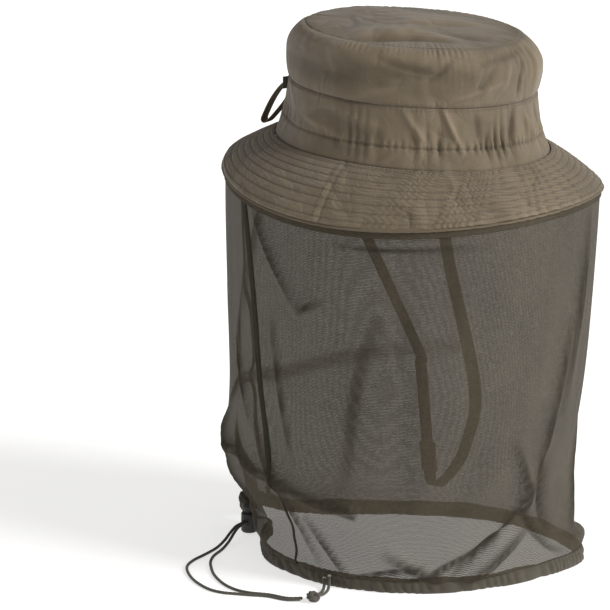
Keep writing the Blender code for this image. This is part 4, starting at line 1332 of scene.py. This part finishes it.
# Folds: start and end as (turn at the brim in degrees, share of the way down), width and depth
NET_FOLDS = [
    ((152, 0.00), (172, 0.24), 5 * MM, 6 * MM), ((172, 0.24), (180, 0.20), 4 * MM, 3 * MM),
    ((185, 0.045), (232, 0.05), 2.5 * MM, 3 * MM), ((258, 0.80), (226, 0.97), 4 * MM, -6 * MM),
    ((256, 0.72), (246, 0.88), 4 * MM, 5 * MM), ((257, 0.80), (282, 0.98), 4 * MM, -6 * MM),
    ((244, 0.88), (205, 1.00), 5 * MM, -5 * MM), ((262, 0.55), (258, 0.78), 5 * MM, 4 * MM),
    ((185, 0.98), (215, 0.93), 4 * MM, -5 * MM), ((268, 0.30), (262, 0.62), 7 * MM, 4 * MM),
    ((150, 0.60), (170, 0.95), 6 * MM, 5 * MM), ((130, 0.70), (112, 0.96), 6 * MM, 6 * MM),
    ((300, 0.60), (290, 0.95), 7 * MM, 5 * MM), ((40, 0.50), (60, 0.95), 8 * MM, 6 * MM),
    ((10, 0.55), (340, 0.96), 8 * MM, 6 * MM), ((80, 0.10), (96, 0.50), 6 * MM, 5 * MM),
    ((246, 0.60), (262, 0.84), 6 * MM, 6 * MM), ((262, 0.66), (276, 0.90), 6 * MM, -6 * MM),
    ((276, 0.05), (270, 0.55), 8 * MM, 4 * MM), ((262, 0.86), (232, 0.99), 7 * MM, 7 * MM),
    ((200, 0.90), (226, 0.99), 6 * MM, 5 * MM), ((168, 0.82), (186, 0.99), 5 * MM, 5 * MM),
    ((160, 0.30), (166, 0.66), 5 * MM, 4 * MM), ((140, 0.35), (146, 0.60), 5 * MM, 5 * MM),
]
# Sewn joins of the net's panels: turn at the brim, turn at the hem, and width at each end
NET_SEAMS = [("near", 146.5, 158.5, 8.0 * MM, 2.6 * MM), ("far", 99.0, 84.0, 4.0 * MM, 3.0 * MM)]


def seam_line(points, turn, at_top, at_hem, width_top, width_foot):
    """A strip of the net, from its top edge to its hem."""
    rows, cols, _ = points.shape
    share = np.linspace(0, 1, rows)
    wander = math.radians(1.0) * np.sin(9 * share) * np.sin(math.pi * share)
    place = np.radians(at_top + (at_hem - at_top) * share ** 0.75) + wander
    first = turn[0]
    place = (place - first) % (2 * math.pi) + first
    widths = (width_top + (width_foot - width_top) * share)[:, None] / BRIM_WIDE
    steps = np.linspace(-0.5, 0.5, 7)[None, :]
    places = place[:, None] + widths * steps
    columns = np.interp(places, np.append(turn, turn[0] + 2 * math.pi), np.arange(cols + 1))
    low = np.floor(columns).astype(int)
    part = (columns - low)[..., None]
    row = np.arange(rows)[:, None]
    strip = points[row, low % cols] * (1 - part) + points[row, (low + 1) % cols] * part
    swell = 0.55 * MM * (1 - (2 * steps) ** 4) + 0.3 * MM
    return emboss(strip, np.broadcast_to(swell, columns.shape), False, -1)


def net(mesh_cloth, seam_cloth):
    """The veil and its sewn seams."""
    points, turn = net_rest()
    points = drape(points, turn)
    points, doubled = net_folds(points, turn)
    piece = sheet_mesh("net_cloth", points, True, 0.0, -1, doubled)
    dress(piece, "hat", "net", mesh_cloth, "net_veil")
    seams = []
    for name, *where in NET_SEAMS:
        strip = seam_line(points, turn, *where)
        seam = sheet_mesh(f"net_seam_{name}", strip, False, 0.5 * MM, -1)
        seams.append(dress(seam, "hat", "net", seam_cloth))
    for soft in [piece, *seams]:
        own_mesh(soft)


def hem(hem_cloth, cord_finish):
    """The gathered channel round the foot of the net, and the cord in it."""
    path = hem_path(1.1 * MM)
    rows, sides = len(path), 40
    ahead = headings(path)
    side = np.stack([ahead[:, 1], -ahead[:, 0], np.zeros(rows)], 1)
    side /= np.linalg.norm(side, axis=1, keepdims=True)
    around, length = np.meshgrid(np.arange(sides) * 2 * math.pi / sides,
                                 np.linspace(0, 2 * math.pi, rows))
    out = HEM_DEPTH / 2 * squared(np.cos(around), 0.75)
    up = HEM_HEIGHT / 2 * (1 + squared(np.sin(around), 0.6))
    rings = (path[:, None] + side[:, None] * out[..., None]
             + np.stack([np.zeros_like(up), np.zeros_like(up), FLOOR_Z + up], -1))
    height = up / HEM_HEIGHT
    pleats = gather(length + 0.03 * height, 61, 92, 4.0)
    fine = gather(length - 0.02 * height, 62, 210, 5.0)
    relief = (1.15 * pleats + 0.35 * fine) * (0.45 + 0.55 * np.sin(math.pi * height))
    big = np.abs(np.sin(17 * length + 2.5 * height + 2.0 * ripple(length, 64, 3, 9))) - 0.6
    relief = relief + 1.6 * big * np.sin(math.pi * np.clip(height, 0, 1))
    relief = relief - 0.6 * near(height, 0.86, 0.05)
    relief = relief + 0.5 * ripple(length, 63, 6, 20)
    relief = np.where(height < 0.12, np.minimum(relief, 0.15), relief) * MM
    rings = emboss(rings, relief, True, -1)
    rings[..., 2] = np.maximum(rings[..., 2], FLOOR_Z + 0.05 * MM)
    piece = sheet_mesh("hem_channel_cloth", rings, True, 0.6 * MM, -1, np.clip(relief / (1.2 * MM), -1, 1))
    dress(piece, "hem", "net", hem_cloth, "hem_channel")
    middle = path + np.array([0, 0, FLOOR_Z + HEM_HEIGHT / 2])
    start = smooth_route([*over_floor(DRAWCORD_START), tuple(middle[0])], 1.2 * MM)
    end = smooth_route([tuple(middle[-1]), *over_floor(DRAWCORD_END)], 1.2 * MM)
    route = np.concatenate([start[:-1], middle, end[1:]])
    piece = braid_tube("hem_drawcord_braid", route, CORD_D / 2 - 0.1 * MM, 10)
    dress(piece, "hem", "cord", cord_finish, "hem_drawcord")


# ---------------------------------------------------------------- cord, knot and lock

BRAID_PITCH = 3.2 * MM


def braid_tube(name, path, radius, sides=20):
    """A braided cord: two sets of strands crossing, as relief on a tube."""
    run = 2 * math.pi * np.linalg.norm(path[1] - path[0]) / BRAID_PITCH
    relief = np.array([braid(k, np.arange(sides) * 2 * math.pi / sides, run) for k in range(len(path))])
    # the strands' relief also goes to the cord material, which paints shade in the grooves between them and
    # light on their crowns
    return tube(name, path, lambda k, turn: radius * (0.97 + 0.06 * braid(k, turn, run)), sides,
                relief=relief - 0.4)


def braid(k, turn, run):
    """From -1 to 1: two sets of strands that cross. run is their turn from one ring to the next."""
    return np.maximum(np.sin(4 * turn + run * k), np.sin(4 * turn - run * k))


def free_cord(cord_finish, cut_end):
    """The drawcord's strands outside the hem, their knot and its two cut tails."""
    strands, tails = [], []
    for name, route in STRAND_ROUTES.items():
        path = smooth_route(over_floor(route), 0.55 * MM)
        piece = braid_tube(f"drawcord_{name}", path, CORD_D / 2)
        dress(piece, "hem", "cord", cord_finish, f"cord_strand_{name}")
        strands.append((piece, path))
    centre = np.array(KNOT) + np.array([0, 0, FLOOR_Z])
    for number in range(2):
        t = np.linspace(0, 2 * math.pi, 220)[:-1]
        round_it, winding = 2 * t, 3 * t + number * math.pi / 2
        reach = 3.15 * MM + 1.45 * MM * np.cos(winding)
        loop = np.stack([reach * np.cos(round_it), reach * np.sin(round_it), 1.75 * MM * np.sin(winding)], 1)
        lean = math.radians(34)
        loop[:, 1], loop[:, 2] = (loop[:, 1] * math.cos(lean) - loop[:, 2] * math.sin(lean),
                                  loop[:, 1] * math.sin(lean) * 0.75 + loop[:, 2] * math.cos(lean))
        piece = tube(f"cord_knot_turns_{number + 1}", loop + centre,
                     lambda k, turn: CORD_D * 0.48 * (0.97 + 0.06 * braid(k, turn, 0.9)), 16, closed=True)
        dress(piece, "hem", "cord", cord_finish, "cord_knot")
    for number, route in enumerate(TAIL_ROUTES, 1):
        path = smooth_route(over_floor(route), 0.5 * MM)
        piece = braid_tube(f"cord_tail_{number}_braid", path, CORD_D / 2)
        dress(piece, "hem", "cord", cord_finish, f"cord_tail_{number}")
        ahead = headings(path)[-1]
        fray = np.linspace(path[-1] - ahead * 0.4 * MM, path[-1] + ahead * 1.0 * MM, 8)
        tip = tube(f"cord_tail_{number}_cut_end", fray,
                   lambda k, turn: CORD_D / 2 * (1.1 - 0.1 * (k / 7) ** 2 + 0.1 * np.sin(7 * turn + k)), 20)
        dress(tip, "hem", "cord", cut_end)
        tails.append((piece, path, tip))


def cord_lock(plastic, steel):
    """Ribbed barrel, button with its stem, and the spring under it."""
    low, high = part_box("lock_barrel")
    x, y = (low.x + high.x) / 2, (low.y + high.y) / 2
    barrel_r, bore_r = (high.x - low.x) / 2, 4.5 * MM
    tall = high.z - low.z
    floor = 1.2 * MM
    profile = [(0.1 * MM, 0), (barrel_r - 0.8 * MM, 0), (barrel_r, 0.9 * MM), (barrel_r, tall - 1.2 * MM),
               (barrel_r - 0.7 * MM, tall), (bore_r, tall), (bore_r, floor), (0.1 * MM, floor)]
    fine = []
    for a, b in zip(profile, profile[1:]):
        fine += [tuple(np.array(a) + (np.array(b) - np.array(a)) * k / 6) for k in range(6)]
    piece = lathe_mesh("lock_barrel_shell", rounded(fine + profile[-1:], 0.2 * MM, 2), (x, y, low.z), 72,
                       ribs=18, rib_depth=0.35 * MM, rib_span=(2.2 * MM, tall - 2.4 * MM))
    hole_z, half_y, half_z = FLOOR_Z + 9.6 * MM, 2.9 * MM, 1.6 * MM
    reach = 9 * MM
    cut_away(piece, (x - reach, y - half_y, hole_z - half_z), (x + reach, y + half_y, hole_z + half_z))
    piece.data.set_sharp_from_angle(angle=math.radians(50))
    dress(piece, "cord_lock", "lock_plastic", plastic, "lock_barrel")
    low_p, high_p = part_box("lock_plunger")
    stem_r, cap_r = 4.2 * MM, (high_p.x - low_p.x) / 2
    tall_p = high_p.z - low_p.z
    cap_low = tall_p - 4.3 * MM
    profile = [(0.1 * MM, 0), (stem_r - 0.3 * MM, 0), (stem_r, 0.4 * MM), (stem_r, cap_low),
               (cap_r, cap_low + 0.1 * MM), (cap_r, cap_low + 2.4 * MM), (cap_r * 0.75, cap_low + 3.9 * MM),
               (cap_r * 0.4, cap_low + 4.1 * MM), (0.1 * MM, cap_low + 4.25 * MM)]
    piece = lathe_mesh("lock_plunger_button", rounded(profile, 0.5 * MM, 4), (x, y, low_p.z))
    cut_away(piece, (x - reach, y - half_y, hole_z - 1.35 * MM),
             (x + reach, y + half_y, hole_z + half_z + 3 * MM))
    piece.data.set_sharp_from_angle(angle=math.radians(50))
    dress(piece, "lock_button", "lock_plastic", plastic, "lock_plunger")
    low_s, high_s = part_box("lock_spring")
    wire = 0.35 * MM
    coil_r, turns = 3.2 * MM, 3
    t = np.linspace(0, 1, 160)
    climb = low_s.z + wire + (high_s.z - low_s.z - 2 * wire) * t
    coil = np.stack([x + coil_r * np.cos(2 * math.pi * turns * t),
                     y + coil_r * np.sin(2 * math.pi * turns * t), climb], 1)
    piece = tube("lock_spring_wire", coil, wire, 12)
    dress(piece, "cord_lock", "spring_steel", steel, "lock_spring")
    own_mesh(piece)


# ---------------------------------------------------------------- the whole

def build():
    add_camera()
    cord_finish = braided("cord_braid", TRIM_DEEP, TRIM_LIGHT)
    free_cord(cord_finish, padding("cord_core"))
    add_studio()
    shell = woven("shell_cloth", OLIVE_DEEP, OLIVE_LIGHT, 0.55 * MM, 0.62, crumple=11.0 * MM)
    lining = woven("lining_cloth", tuple(c * 0.9 for c in OLIVE_DEEP), tuple(c * 0.9 for c in OLIVE_LIGHT),
                   0.6 * MM, 0.75, 0.1)
    thread = woven("sewing_thread", THREAD_OLIVE, tuple(c * 1.25 for c in THREAD_OLIVE), 0.4 * MM, 0.6)
    top_tape = netting("net_top_mesh", NET_THREAD, 0.75)
    strap_web = webbing("strap_webbing", TRIM_DEEP, TRIM_LIGHT)
    crown(shell, thread)
    brim(shell, lining, padding("brim_filling_fibre"), thread)
    sweatband(lining, webbing("elastic_braid", TRIM_LIGHT, OLIVE_LIGHT), thread)
    stow_pocket(lining)
    snap(pressed_metal("snap_finish", SNAP_BROWN, 0.4))
    trims(top_tape, webbing("loop_web", OLIVE_DEEP, OLIVE_LIGHT), strap_web,
          webbing("tag_weave", TRIM_DEEP, TRIM_LIGHT))
    chin_strap(strap_web, hide("slider_leather"))
    net(netting("net_mesh", NET_THREAD), netting("net_seam_mesh", NET_DEEP, 0.90))
    hem(woven("hem_net_layers", TRIM_LIGHT, NET_THREAD, 1.5 * MM, 0.85, 0.15), cord_finish)
    cord_lock(moulded("lock_moulding", PLASTIC_DARK, 0.5), pressed_metal("spring_finish", STEEL, 0.3))


build()
